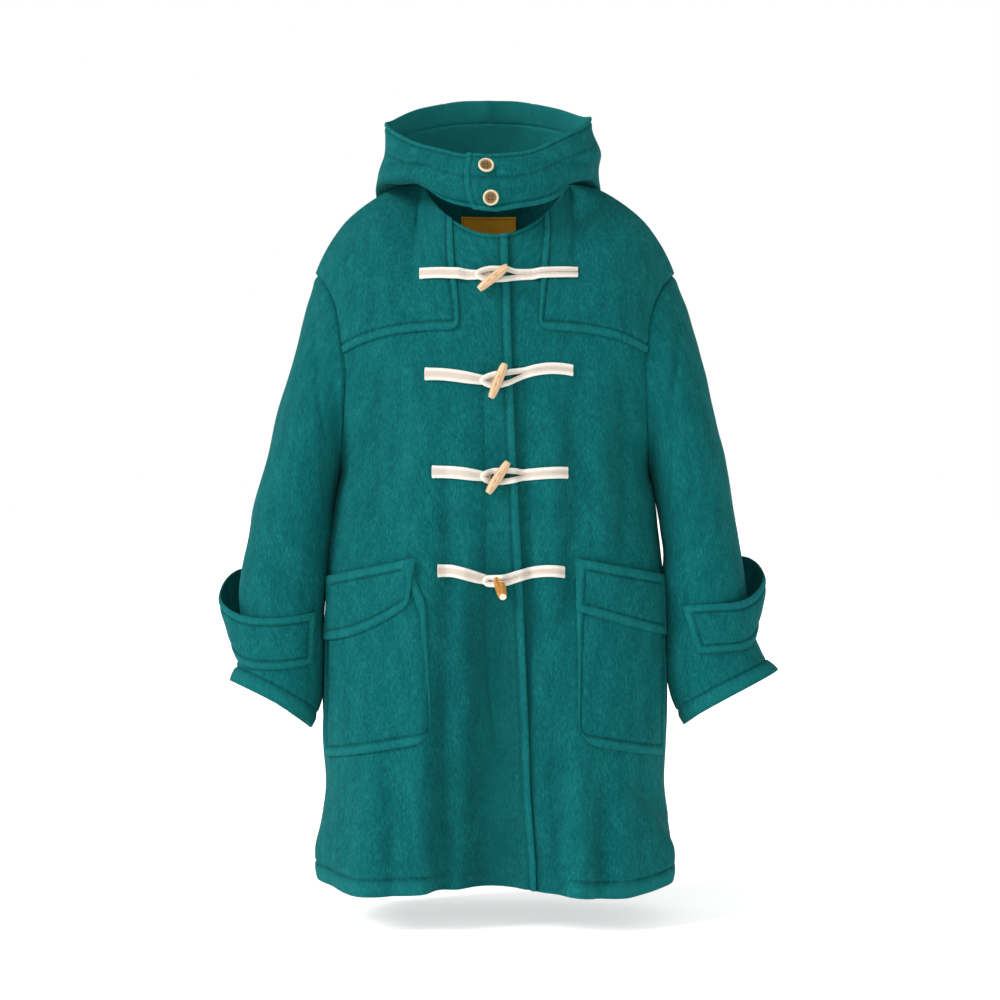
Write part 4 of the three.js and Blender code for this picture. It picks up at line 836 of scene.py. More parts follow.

# %% Fronts
# How dark the painted shadow of the closing edge is on the right front.
PAST_EDGE_PAINTED_SHADOW = 1.2
closing = SURFACE["front_left"](0, np.linspace(0, HEM, 400))
for name, mark in (("front_left", CLOSING_INSET), ("front_right", None)):
    column, level = panel_grid(name, first_mark=mark)
    place, normal = sampled(SURFACE[name], column, level, to_axis)
    from_top, from_hem, from_edge = run(place, 0), run(place, 0, True), run(place, 1)
    at_neck = 1 - smooth((np.abs(place[:1, :, 0]) - 84) / 8)
    outer_part = smooth((np.abs(place[..., 0] - 5) - 84) / 8)
    base = body_base(name, place)
    relief = base + at_neck * turned_edge(from_top, NECK_INSET, 1.0, 1.0, 1.2)
    relief = relief + outer_part * turned_edge(from_hem, HEM_INSET, 1.0, 1.8)
    relief = relief - 1.2 * (1 - outer_part) * bell((from_hem - 3) / 3)
    # Painted highlight on the turned edges, painted shade in their grooves and the troughs, and painted light
    # on the ridges.
    lip = (at_neck * painted_edge_shading(from_top, NECK_INSET) + outer_part * painted_edge_shading(from_hem, HEM_INSET)
           + painted_crease_shading(name, place))
    if mark:
        relief = relief + turned_edge(from_edge, mark, 1.0, 1.5)
        lip = lip + painted_edge_shading(from_edge, mark)
    else:
        # Painted shadow that the left front's closing edge casts on the right one.
        past = place[..., 0] - np.interp(-place[..., 2], -closing[:, 2], closing[:, 0])
        lip = lip - PAST_EDGE_PAINTED_SHADOW * bell((past - 2) / 4)
    piece = shell(name + "_cloth", place, normal, base - CLOTH, relief, lip)
    declare(piece, place, WOOL, name)

# %% Back
dense = np.linspace(0, 10, 400)
walked = run(back_surface(dense, 520)[None], 1)[0]
half_back = np.interp(stations(walked[-1] - SEAM_GAP, 5.5), walked, dense)
column = np.concatenate([-half_back[:0:-1], half_back])[None, :]
level = stations(HEM, 5.5, [0, HEM - HEM_INSET, HEM])[:, None]
place, normal = sampled(back_surface, column, level, to_axis)
from_top, from_hem = run(place, 0), run(place, 0, True)
base = body_base("back", place)
relief = base + turned_edge(from_hem, HEM_INSET, 1.0, 1.8)
# Painted highlight on the hem's turned edge and painted shade in its groove.
piece = shell("back_cloth", place, normal, base - CLOTH, relief, painted_edge_shading(from_hem, HEM_INSET))
declare(piece, place, WOOL, "back")

# %% [markdown]
# ## Yokes
#
# A yoke is a second layer of wool over each shoulder that keeps out the rain. Its free edges
# are topstitched 10 mm in, with a rounded corner towards the closure.

# %% Front yokes
YOKE_INSET, YOKE_CORNER, YOKE_BACK_OFF = 10, 13, 1.4
YOKE_BACK_LOW, YOKE_BACK_SHARE = 222, 0.994


def shortened(level, last, cut):
    """Levels scaled so that each column ends `cut` mm above `last`."""
    return level * (last - cut) / last


for name, first in (("front_left", 3), ("front_right", 3.75)):
    surface = SURFACE[name]
    dense = np.linspace(first, 13, 300)
    walked = run(surface(dense, 150)[None], 1)[0]
    across = stations(walked[-1] - YOKE_BACK_OFF, 4, [0, YOKE_INSET, YOKE_CORNER * 0.4])
    column = np.interp(across, walked, dense)[None, :]
    past = np.clip(1 - across / YOKE_CORNER, 0, 1)
    cut = YOKE_CORNER * (1 - np.sqrt(1 - past**2))
    level = shortened(stations(CHEST, 4, [CHEST - YOKE_INSET, CHEST])[:, None], CHEST, cut[None, :])
    place, normal = sampled(surface, column, level, to_axis)
    side_gap, low_gap = run(place, 1), run(place, 0, True) + cut[None, :]
    edge = rounded(side_gap, low_gap, YOKE_CORNER)
    base = body_base(name, place)
    relief = base + LAYER + turned_edge(edge, YOKE_INSET)
    # Painted highlight on the yoke's edge and painted shade in its groove.
    piece = shell("yoke_" + name + "_cloth", place, normal, base + LIFT, relief, painted_edge_shading(edge, YOKE_INSET))
    side = name.split("_")[1]
    declare(piece, place, WOOL, "yoke_front_" + side)

# %% Back yoke
column = np.concatenate([-half_back[:0:-1], half_back])[None, :] * YOKE_BACK_SHARE
level = stations(YOKE_BACK_LOW, 4, [0, YOKE_BACK_LOW - YOKE_INSET, YOKE_BACK_LOW])[:, None]
place, normal = sampled(back_surface, column, level, to_axis)
edge = run(place, 0, True)
base = body_base("back", place)
relief = base + LAYER + turned_edge(edge, YOKE_INSET)
# Painted highlight on the yoke's edge and painted shade in its groove.
piece = shell("yoke_back_cloth", place, normal, base + LIFT, relief, painted_edge_shading(edge, YOKE_INSET))
declare(piece, place, WOOL, "yoke_back")

# %% [markdown]
# ## Sleeves and cuff straps
#
# Each sleeve has an upper and an under piece. The hem is stitched 19 mm above its edge, and a
# strap from the elbow seam stands away from the sleeve before it is sewn down in front, where
# its end slants. The strap follows the sleeve's own surface, lifted along the normals, so it
# stands as far off as the table says and no further.

# %% Sleeves
CUFF_INSET = 19
sleeve_inside = {
    side: (lambda p, side=side: points(
        side * (215 + 75 * np.clip((-p[..., 2] - 200) / 450, 0, 1)),
        -20 * np.clip((-p[..., 2] - 200) / 450, 0, 1), p[..., 2]))
    for side in (-1, 1)}
for side, name in ((-1, "left"), (1, "right")):
    surface = SURFACE["sleeve_" + name]
    dense = np.linspace(0, SECTIONS, 400)
    walked = run(surface(60, dense)[:, None], 0)[:, 0]
    section = np.interp(
        stations(walked[-1], 5, [0, 5, walked[-1] - CUFF_INSET, walked[-1]]), walked, dense)[:, None]
    for part, start, end in (("upper", ELBOW_TURN, INSIDE_TURN), ("under", INSIDE_TURN, 360 + ELBOW_TURN)):
        turn = np.linspace(start + 0.3, end - 0.3, int((end - start) / 2.6))[None, :]
        place, normal = sampled(surface, turn, section, sleeve_inside[side], (0.5, 0.02))
        from_top, from_hem = run(place, 0), run(place, 0, True)
        base = waver(place) * smooth(from_top / 30)
        relief = (base + turned_edge(from_hem, CUFF_INSET, 1.0, 1.8)
                  - 0.8 * bell(from_top / 4) + 1.2 * bell((from_top - 9) / 6))
        # Painted highlight on the cuff's edge and painted shade in its groove.
        lip = painted_edge_shading(from_hem, CUFF_INSET)
        piece = shell(f"sleeve_{part}_{name}_cloth", place, normal, base - CLOTH, relief, lip)
        declare(piece, place, WOOL, f"sleeve_{part}_{name}")

# %% Where a strap lies on its sleeve
STRAP_TAPER, STRAP_CLEAR, STRAP_INSET = 0.75, 1, 9
# How far it stands off at a turn, and how far down its upper edge lies on each side.
STRAP = table(
    "turn off left right", (-116, 1, 500, 494), (-75, 11, 488, 474), (-40, 24, 486, 468),
    (0, 24, 514, 492), (40, 10, 536, 517), (80, 1.4, 540, 522), (142, 1, 531, 527))
STRAP_HIGH, STRAP_END_TURN = {"left": 63, "right": 59}, {"left": (130, 127), "right": (114, 101)}


def section_at(surface, turn, down):
    """The section of a sleeve that lies at a height, found by halving the range."""
    low, high = np.full(np.broadcast(turn, down).shape, 3.0), np.full(np.broadcast(turn, down).shape, 10.0)
    for _ in range(24):
        middle = (low + high) / 2
        above = -surface(turn, middle)[..., 2] < down
        low, high = np.where(above, middle, low), np.where(above, high, middle)
    return low


# %% Cuff straps
for side, name in ((-1, "left"), (1, "right")):
    surface = SURFACE["sleeve_" + name]
    high, (end, low_end) = STRAP_HIGH[name], STRAP_END_TURN[name]
    v = stations(high, 4, [0, STRAP_INSET, high - STRAP_INSET, high])[:, None] / high
    turn = ELBOW_TURN + (end + (low_end - end) * v - ELBOW_TURN) * np.linspace(0, 1, 130)
    down = of(STRAP, "turn", name, turn) + v * high
    section = section_at(surface, turn, down)
    place, normal = sampled(surface, turn, section, sleeve_inside[side], (0.5, 0.02))
    off = np.maximum(STRAP_CLEAR, of(STRAP, "turn", "off", turn) * (1 - STRAP_TAPER * v * v))
    place = place + normal * off[..., None]
    edge = np.minimum(np.minimum(run(place, 0), run(place, 0, True)), run(place, 1, True))
    relief = CLOTH + turned_edge(edge, STRAP_INSET)
    # Painted highlight on the strap's edge and painted shade in its groove.
    piece = shell(f"cuff_strap_{name}_cloth", place, normal, 0, relief, painted_edge_shading(edge, STRAP_INSET))
    declare(piece, place, WOOL, f"cuff_strap_{name}")

# %% [markdown]
# ## Hood
#
# The hood has two sides and a centre strip. Its rim is turned with a stitch line close to the
# edge and a facing line inside, and the right side ends in the throat tab, which buttons over
# the left. The brushed inner face is painted lighter than the outer one, painted light where
# the inside lies in shade, and painted shade darkens the facing line and the seams.

# %% Hood
RIM_INSET, FACING_INSET, TAB_INSET, LOW_INSET = 5, 31, 7, 7
# The last of these paints light on the hood's inner face, which lies in shade.
FACING_GROOVE, SEAM_DEGREE, HOOD_GAP, HOOD_INSIDE_PAINTED_LIGHT = 1.2, 1.7, 0.03, 3
hood_inside = lambda p: points(0 * p[..., 0], HOOD_AXIS_Y, p[..., 2])


def hood_piece(name, start, end, tab=False):
    """One piece of the hood between two turns."""
    turn = np.linspace(start, end, int((end - start) / 1.3))
    if tab:
        walked = stations(end - start, 1.3, [0, 5.5], close=0.6, reach=3)
        turn = np.interp(walked, [0, end - start], [start, end])
    rows = stations(300, 3.2, [0, RIM_INSET, FACING_INSET, 292, 300], close=1.2)[:, None] / 300
    place, normal = sampled(hood_surface, turn[None, :], rows, hood_inside, (0.5, 0.004))
    from_rim, from_low = run(place, 0), run(place, 0, True)
    near_throat = 1 - smooth((np.abs(turn) - 50) / 20)[None, :]
    base = 0.8 * waver(place) * smooth(from_rim / 30)
    if tab:
        base = base + TAB_LIFT * (1 - smooth((turn - UNDER_TAB_END - 4) / TAB_BLEND))[None, :]
    relief = base + turned_edge(from_rim, RIM_INSET, 0.6, 1.0, 1.3)
    relief = relief + near_throat * turned_edge(from_low, LOW_INSET, 0.8, 1.2, 1.5)
    # Painted highlight on the turned edges and painted shade in their grooves.
    lip = painted_edge_shading(from_rim, RIM_INSET) + near_throat * painted_edge_shading(from_low, LOW_INSET)
    if tab:
        edge = run(place, 1)
        relief = relief + turned_edge(edge, TAB_INSET, 0.4, 0.9, 1.3)
        lip = lip + 0.7 * painted_edge_shading(edge, TAB_INSET)
    from_seam = np.abs(np.abs((turn + 180) % 360 - 180) - HOOD_SEAM)[None, :] * SEAM_DEGREE
    inner = base - CLOTH + FACING_GROOVE * (bell((from_rim - FACING_INSET) / 1.6) + 0.4 * bell(from_seam / 2))
    # Painted shade along the facing line and the seams.
    lip = lip - 0.7 * bell((from_rim - FACING_INSET) / 2) - 0.7 * bell(from_seam / 2.4)
    piece = shell(name + "_cloth", place, normal, inner, relief, lip, inside=HOOD_INSIDE_PAINTED_LIGHT)
    declare(piece, place, WOOL, name)


hood_piece("hood_left", -HOOD_SEAM + HOOD_GAP, UNDER_TAB_END)
hood_piece("hood_right", TAB_END, HOOD_SEAM - HOOD_GAP, tab=True)
hood_piece("hood_centre", HOOD_SEAM + HOOD_GAP, 360 - HOOD_SEAM - HOOD_GAP)

# %% [markdown]
# ## What lies on the fronts
#
# Pockets, flaps and tapes are placed by where they are seen from the front. To put them on the
# curved cloth, the front's own surface is asked which of its points shows at that place, with
# Newton's method, and the piece is then lifted off along the normal. So a pocket bends with
# its front and takes over its creases.

# %% Find a point of a surface from the front
def seen_from_front(surface, x, down, column, last, level=None):
    """Place and normal where the surface shows at x and `down`. Each pass moves the column
    and the level by the miss in x and z, solved against the surface's slopes."""
    x, down, column = np.broadcast_arrays(*(np.asarray(v, float) for v in (x, down, column)))
    level = down if level is None else level
    for _ in range(8):
        column = np.clip(column, last[0] + 0.03, last[1] - 0.03)
        level = np.clip(level, 1, HEM - 1)
        place = surface(column, level)
        by_column = (surface(column + 0.02, level) - place) / 0.02
        by_level = (surface(column, level + 0.5) - place) / 0.5
        miss_x, miss_z = x - place[..., 0], -down - place[..., 2]
        area = by_column[..., 0] * by_level[..., 2] - by_level[..., 0] * by_column[..., 2]
        column = column + (miss_x * by_level[..., 2] - by_level[..., 0] * miss_z) / area
        level = level + (by_column[..., 0] * miss_z - miss_x * by_column[..., 2]) / area
    return sampled(surface, column, level, to_axis)


HALF_WIDE = 215


def on_front(side, x, down):
    """Place and normal of a front, the left one for side -1, at x and `down`."""
    name = "front_left" if side < 0 else "front_right"
    low = COLUMNS[name]["low"]
    start = np.interp(side * np.asarray(x) / HALF_WIDE, low, np.arange(len(low)))
    return seen_from_front(SURFACE[name], x, down, start, (0, len(low) - 1))


# %% [markdown]
# ## Pockets and flaps
#
# Each patch pocket is one layer of wool, topstitched 11 mm in on all sides, below a flap of its
# own that is sewn on above it and hangs free. The wool puffs out a little between the seams.
# All four slope down towards the sides as the photo shows, and no two are quite alike.

# %% The patches' outlines
POCKET = {
    "left": dict(inner=(88, 79), top=470, slope=25, bottom=690, drop=26, curve=1, tuck=11),
    "right": dict(inner=(102, 104), top=470, slope=25, bottom=692, drop=22, curve=1),
}
FLAP = {
    "left": dict(inner=(96, 103), top=463, slope=25, bottom=519, drop=48, curve=1.6),
    "right": dict(inner=(101, 101), top=464, slope=22, bottom=527, drop=34, curve=1),
}
POCKET_CORNER, POCKET_OUTER, POCKET_PUFF = 26, 0.97, 2.2
FLAP_CORNER, FLAP_OUTER, FLAP_PUFF, FLAP_LIFT = {"left": 9, "right": 3}, 0.962, 2.4, LAYER + LIFT + 1
FLAP_GROOVE = {"left": 0.35, "right": 0.8}
PATCH_INSET, PATCH_WIDE = 11, 122

# %% Pockets and flaps
def patch(name, side, spec, outer_share, corner, low, bulge, inner_groove=1.0):
    """A panel sewn on a front. Its edges are straight lines seen from the front, apart from a
    rounded inner corner that lifts the bottom edge by r - sqrt(r^2 - a^2). A pocket's inner
    edge tucks in below its flap, and a flap's inner edge has a weaker stitch line."""
    wide, high, inset = PATCH_WIDE, spec["bottom"] - spec["top"] + spec["drop"] / 2, PATCH_INSET
    tuck = spec.get("tuck", 0)
    u = stations(wide, 4, [0, inset, wide])[None, :] / wide
    v = stations(high, 4, [0, inset, high - inset, high])[:, None] / high
    inner = spec["inner"][0] + (spec["inner"][1] - spec["inner"][0]) * v + tuck * (1 - smooth(v * 4.2 - 0.25))
    down = spec["top"] + (spec["bottom"] - spec["top"]) * v + 0 * u
    for _ in range(4):
        outer = outer_share * of(BODY, "down", "side", down)
        x = inner + (outer - inner) * u
        a = np.clip(1 - (x - inner) / max(corner, 1), 0, 1)
        cut = corner * (1 - np.sqrt(1 - a * a))
        top = spec["top"] + spec["slope"] * u
        bottom = spec["bottom"] + spec["drop"] * (1 - (1 - u) ** spec["curve"]) - cut
        down = top + (bottom - top) * v
    place, normal = on_front(side, side * x, down)
    from_bottom = run(place, 0, True) + cut
    edge = rounded(run(place, 1), from_bottom, max(corner, 1))
    edge = np.minimum(np.minimum(edge, run(place, 1, True)), run(place, 0))
    rolled = inner_groove + (1 - inner_groove) * smooth((run(place, 1) / inset - 1.1) / 0.5)
    puff = bulge * np.sin(np.pi * u) ** 0.7 * np.sin(np.pi * np.clip(v * 0.92 + 0.04, 0, 1)) ** 0.7
    front = "front_left" if side < 0 else "front_right"
    base = waver(place) + creases(front, place) + low
    relief = base + CLOTH + puff + rolled * turned_edge(edge, inset)
    # Painted highlight on the edges, painted shade in the grooves, and painted shade and light over the
    # creases.
    shade = rolled * painted_edge_shading(edge, inset) + painted_crease_shading(front, place)
    piece = shell(name + "_cloth", place, normal, base + 0.7 * puff, relief, shade)
    declare(piece, place, WOOL, name)


for side, name in ((-1, "left"), (1, "right")):
    patch("pocket_" + name, side, POCKET[name], POCKET_OUTER, POCKET_CORNER, LIFT, POCKET_PUFF)
    patch("pocket_flap_" + name, side, FLAP[name], FLAP_OUTER, FLAP_CORNER[name], FLAP_LIFT, FLAP_PUFF,
          FLAP_GROOVE[name])

# %% [markdown]
# ## Fastenings
#
# Each toggle hangs on a tape of the left front and slips through a loop on the right one. The
# tape is a flat woven cotton braid, 15.5 mm wide, with white edges and a warmer middle. The
# loop is the same braid, which parts into two cords near the toggle; the fourth one is drawn
# together and lies over its toggle. Each is swept as one closed ribbon along a path on the
# fronts, so its width and its weave stay those of a real tape wherever it bends.

# %% Cotton tape
RIB = 1.6 * MM


def cotton_tape():
    """White edges and a beige middle across the tape, with fine ribs along it. UV x runs from
    0 to 1 across and y in metres along."""
    made, tree, shader = material("cotton_braid_tape", Roughness=0.88, Specular_IOR_Level=0.25)
    uv = cloth_uv(tree)
    parts = node(tree, "ShaderNodeSeparateXYZ", {0: uv})
    from_middle = maths(tree, "ABSOLUTE", maths(tree, "SUBTRACT", parts.outputs["X"], 0.5))
    colour = ramp(tree, from_middle, (0.14, "#d3c5b8"), (0.22, "#dad0c4"), (0.32, "#e8e6dd"))
    rib = maths(tree, "SINE", maths(tree, "MULTIPLY", parts.outputs["Y"], 2 * np.pi / RIB))
    grain = node(tree, "ShaderNodeTexNoise", {"Vector": uv, "Scale": 900.0, "Detail": 2.0})
    shade = maths(tree, "MULTIPLY_ADD", rib, 0.05, 0.88)
    shade = maths(tree, "MULTIPLY_ADD", grain.outputs["Fac"], 0.14, shade)
    tinted = blend(tree, 1.0, colour, shade, blend_type="MULTIPLY")
    tree.links.new(tinted, shader.inputs["Base Color"])
    bump(tree, shader, rib, 0.5, 0.3 * MM)
    return made


TAPE = cotton_tape()
print("a rib of the tape is", RIB / MM, "mm")

# %% Where the fastenings lie
# x and height of the tape's and the loop's outer ends, the height where they meet, and the
# lean, tip, seat and bow of each.
FASTENINGS = table(
    "left_x left_down right_x right_down down drop lean tip seat bow",
    (-93, 107, 101, 105, 110, 0, 39, 0, 7.3, 0), (-86, 233, 97, 228, 242, 0, 68, 0, 6.5, 5),
    (-77, 355, 91, 356, 362, 0, 57, 0, 6.2, 0), (-71, 478, 87, 480, 492, 9, 98, 60, 3.2, 4))
TAPE_WIDE, TAPE_THICK = 15.5, 2.4
TOGGLE_X = (-2, 4, 4, 7)
LOOP_REACH, LOOP_PART, LOOP_OPEN, OVER_TOGGLE = 15, 34, 3.4, {1: 15, -1: 22}
YOKE_INNER = (-42, 50)


def on_closure(k, x, down, by):
    """Place and normal on the two fronts, `by` off them. Past the closing edge the left
    front's surface passes smoothly into the right one's, one layer lower. The first fastening
    also lies over the yokes."""
    x, down, by = np.broadcast_arrays(*(np.asarray(v, float) for v in (x, down, by)))
    edge = np.interp(down, -closing[:, 2], closing[:, 0])
    reach = np.minimum(x, edge - 0.5)
    left, left_normal = on_front(-1, reach, down)
    right, right_normal = on_front(1, np.maximum(x, edge - 8), down)
    left = left + points(x - reach, 0, 0)
    past = smooth((x - edge - 0.5) / 9)[..., None]
    place, normal = left + (right - left) * past, unit(left_normal + (right_normal - left_normal) * past)
    yoke = smooth((YOKE_INNER[0] - x) / 3 + 1) + smooth((x - YOKE_INNER[1]) / 3 + 1)
    bent = creases("front_left", place) * (1 - past[..., 0]) + creases("front_right", place) * past[..., 0]
    lift = LIFT + waver(place) + bent + by + (yoke * (LAYER + LIFT) if k == 0 else 0)
    return place + normal * lift[..., None], normal


# %% Ribbons along a path
FINER = 9
SECTION_TURNS = np.radians(np.arange(0, 360, 20))


def refined(stations_at):
    """A path's stations with smooth lines through them, `FINER` times as many, by the
    distance walked along the path."""
    at = stations_at[0]
    walked = np.concatenate([[0], np.cumsum(np.linalg.norm(np.diff(at, axis=0), axis=-1))])
    fine = np.interp(np.linspace(0, len(at) - 1, (len(at) - 1) * FINER + 1), np.arange(len(at)), walked)
    return [np.stack([curve(walked, value[:, k], fine) for k in range(3)], -1) for value in stations_at], fine


def closed_rings(count, sides):
    """Faces for `count` rings of points, each joined to the next, and for two poles after
    them that close the first and the last ring."""
    k, i = np.meshgrid(np.arange(count - 1), np.arange(sides), indexing="ij")
    j = (i + 1) % sides
    wall = np.stack([k * sides + i, k * sides + j, (k + 1) * sides + j, (k + 1) * sides + i], -1)
    i = np.arange(0, sides, 2)
    last = (count - 1) * sides
    first_end = np.stack([np.full_like(i, count * sides), (i + 2) % sides, (i + 1) % sides, i], -1)
    last_end = np.stack([np.full_like(i, count * sides + 1), last + i, last + (i + 1) % sides,
                         last + (i + 2) % sides], -1)
    return np.concatenate([wall.reshape(-1, 4), first_end, last_end])


def ribbon(name, at, wide, high, squareness=0.42, end_flare=0.0, half=False):
    """A braid along a path. Its section is the superellipse |u|^(2/k) + |v|^(2/k) = 1, as wide
    as `wide` and as high as `high`; both ends are closed by a small rounded cap. A half
    ribbon is one side of a split tape: its grain runs from the tape's middle to its edge."""
    (at, wide, high), walked = refined((at, wide, high))
    cos, sin = np.cos(SECTION_TURNS), np.sin(SECTION_TURNS)
    u = np.sign(cos) * np.abs(cos) ** squareness / 2
    v = (1 + np.sign(sin) * np.abs(sin) ** 0.7) / 2
    flare = 1 + end_flare * np.exp(-walked / 4)
    ring = (at[:, None] + wide[:, None] * u[None, :, None] * flare[:, None, None]
            + high[:, None] * v[None, :, None])
    caps = []
    for end, inner in ((0, 1), (-1, -2)):
        out = unit(at[end] - at[inner])
        middle = ring[end].mean(0)
        caps.append([middle + (ring[end] - middle) * size + out * push
                     for size, push in ((0.9, 0.5), (0.5, 0.8))])
    rings = np.concatenate([caps[0][::-1], ring, caps[1]])
    middles = np.stack([rings[0].mean(0), rings[-1].mean(0)])
    verts = np.concatenate([rings.reshape(-1, 3), middles])
    along = np.concatenate([[walked[0]] * 2, walked, [walked[-1]] * 2]) * MM
    across = 0.75 + u / 2 if half else 0.5 + u
    uv = np.stack(np.broadcast_arrays(across[None, :], along[:, None]), -1).reshape(-1, 2)
    uv = np.concatenate([uv, [(0.5, along[0]), (0.5, along[-1])]])
    return mesh(name, verts, closed_rings(*rings.shape[:2]), uv), walked[-1]


def up_along(normal, long):
    """The direction up the cloth, square to its normal and to x, `long` mm of it."""
    return unit(points(0, normal[..., 2], -normal[..., 1])) * np.asarray(long)[..., None]


# %% Tapes and loops
def declare_tape(piece, long, wide, node_name):
    """Dresses a tape and states its cut, width by length; a loop's width is that of one
    cord."""
    dress(piece, TAPE, node_name)
    print(f"{piece.name}: {wide} x {long:.0f} mm")


CORD_WIDE = TAPE_WIDE / 2 - 0.25
for k in range(4):
    row = {name: values[k] for name, values in FASTENINGS.items()}
    t = np.linspace(0, 1, 10)
    x = row["left_x"] + (TOGGLE_X[k] - 3 - row["left_x"]) * t
    down = row["left_down"] + (row["down"] - 1 - row["left_down"]) * smooth(t * 1.15 - 0.15)
    at, normal = on_closure(k, x, down, 0)
    wide = up_along(normal, TAPE_WIDE * (1 - 0.28 * smooth(t * 2 - 1)))
    piece, long = ribbon(f"toggle_tape_{k + 1}_braid", at, wide, normal * TAPE_THICK, end_flare=0.06)
    declare_tape(piece, long, TAPE_WIDE, f"toggle_tape_{k + 1}")

    t = np.linspace(0, 1, 12)
    centre = TOGGLE_X[k] - 1
    x = row["right_x"] + (centre - LOOP_REACH - row["right_x"]) * t
    near = np.clip((LOOP_PART - (x - centre)) / (LOOP_PART + LOOP_REACH), 0, 1)
    spread = np.where(near > 0, np.sqrt(np.sin(np.pi * np.minimum(1, near * 0.62 + 0.02))), 0)
    closed = k == 3
    gap = (CORD_WIDE / 2 - 0.2 + (0.2 if closed else LOOP_OPEN) * spread * smooth(near * 3)
           - (3.4 if closed else 6.4) * smooth((near - 0.82) / 0.18))
    gap = np.maximum(gap, 0.9)
    down = (row["right_down"] + (row["down"] - 1 - row["right_down"]) * smooth(t)
            - row["bow"] * np.sin(np.pi * np.clip(t * 1.3, 0, 1)))
    rise = (TAPE_THICK + 2 * LIFT) * smooth(near * 2.2)
    halves = []
    for sign in (1, -1):
        over = OVER_TOGGLE[sign] * bell((x - TOGGLE_X[k] + 1) / 9) if closed else 0
        at, normal = on_closure(k, x, down - sign * gap, rise + over)
        halves.append([at, up_along(normal, np.full(len(at), sign * CORD_WIDE)), normal * TAPE_THICK])
    top, low = halves[0], [part[::-1] for part in halves[1]]
    bend = [((top[0][-1] + low[0][0]) / 2 + points(-CORD_WIDE * 0.45, 0, 0))[None],
            points(-CORD_WIDE, 0, 0)[None], top[2][-1:]]
    for part, sign in ((top, -1), (low, 0)):
        up = 1 if sign else -1
        part[1][sign] = points(-CORD_WIDE * 0.7, 0, up * CORD_WIDE * 0.7)
        part[0][sign] = part[0][sign] + points(0, 0, up * CORD_WIDE * 0.35)
    at, wide, high = (np.concatenate([a, b, c]) for a, b, c in zip(top, bend, low))
    piece, long = ribbon(f"loop_tape_{k + 1}_braid", at, wide, high, 0.55, half=True)
    declare_tape(piece, long, CORD_WIDE, f"loop_tape_{k + 1}")

# %% [markdown]
# ## Toggles
#
# A duffle's toggles are turned from pale wood, here about 46 mm long and 12 mm thick, with
# tapering ends cut off flat and two holes for the cord. The fourth one is painted darker,
# painted shade where it lies tucked under its loop, and tips forward, so that its cut end
# shows. A profile turned round its axis is how a lathe makes one.

# %% Wood
GRAIN_WIDE, GRAIN_LONG = 1.4 * MM, 22 * MM


def turned_wood(name, pale, dark, cut):
    """Rings of growth stretched along the toggle, under a thin satin varnish. The attribute
    `lip` is 1 on the two cut ends."""
    made, tree, shader = material(name, Roughness=0.42, Specular_IOR_Level=0.4, Coat_Weight=0.2,
                                  Coat_Roughness=0.3)
    grain = stretched_noise(tree, cloth_uv(tree), GRAIN_WIDE, GRAIN_LONG, 3.0, Distortion=0.4)
    colour = ramp(tree, grain, (0.35, dark), (0.6, pale))
    tree.links.new(blend(tree, lip_shade(tree), colour, linear(cut)), shader.inputs["Base Color"])
    bump(tree, shader, grain, 0.2, 0.2 * MM)
    return made


WOOD = turned_wood("turned_beech", "#dcbd97", "#bd9368", "#e6cfb2")
# A darker copy of the beech for the fourth toggle: painted shade where it lies tucked under its loop; its cut
# ends stay pale.
SHADED_TOGGLE_WOOD = turned_wood("turned_beech_painted_shade", "#c98f3c", "#9c6420", "#e9dcc6")

# %% Pieces turned on a lathe
TOGGLE_LONG, TOGGLE_RADII, TOGGLE_SIDES = 46, (5.9, 5.9, 5.9, 6.8), 40
TOGGLE_PROFILE = table(
    "r h", (0.04, -0.497), (0.3, -0.5), (0.56, -0.5), (0.64, -0.488), (0.74, -0.455), (0.86, -0.36),
    (0.95, -0.2), (1, 0), (0.95, 0.2), (0.86, 0.36), (0.74, 0.455), (0.64, 0.488), (0.56, 0.5),
    (0.3, 0.5), (0.04, 0.497))


def turned(profile, radius, high, sides, steps, dents):
    """A profile of radii and heights, as shares, turned round the z axis and closed at its two
    small ends. Each dent pushes the surface in by depth x exp(-(distance / size)^4)."""
    number = np.arange(len(profile["r"]))
    fine = np.linspace(0, len(number) - 1, steps)
    r, h = curve(number, profile["r"], fine) * radius, curve(number, profile["h"], fine) * high
    turn = np.arange(sides) * 2 * np.pi / sides
    ring = np.stack(np.broadcast_arrays(
        r[:, None] * np.cos(turn), r[:, None] * np.sin(turn), h[:, None] + 0 * turn), -1)
    for centre, way, size, depth in dents:
        away = np.linalg.norm(ring - np.array(centre), axis=-1)
        ring = ring + np.array(way) * (depth * np.exp(-(away / size) ** 4))[..., None]
    poles = np.array([(0, 0, h[0]), (0, 0, h[-1])], float)
    verts = np.concatenate([ring.reshape(-1, 3), poles])
    walked = np.concatenate([[0], np.cumsum(np.hypot(np.diff(r), np.diff(h)))])
    uv = np.stack(np.broadcast_arrays(turn[None, :] * r.max(), walked[:, None]), -1).reshape(-1, 2) * MM
    return verts, closed_rings(steps, sides), np.concatenate([uv, uv[:1], uv[-1:]])


def solid_centre(node_name):
    """The middle of a solid's box, in mm."""
    low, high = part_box(node_name)
    return np.array([(a + b) / 2 / MM for a, b in zip(low, high)])


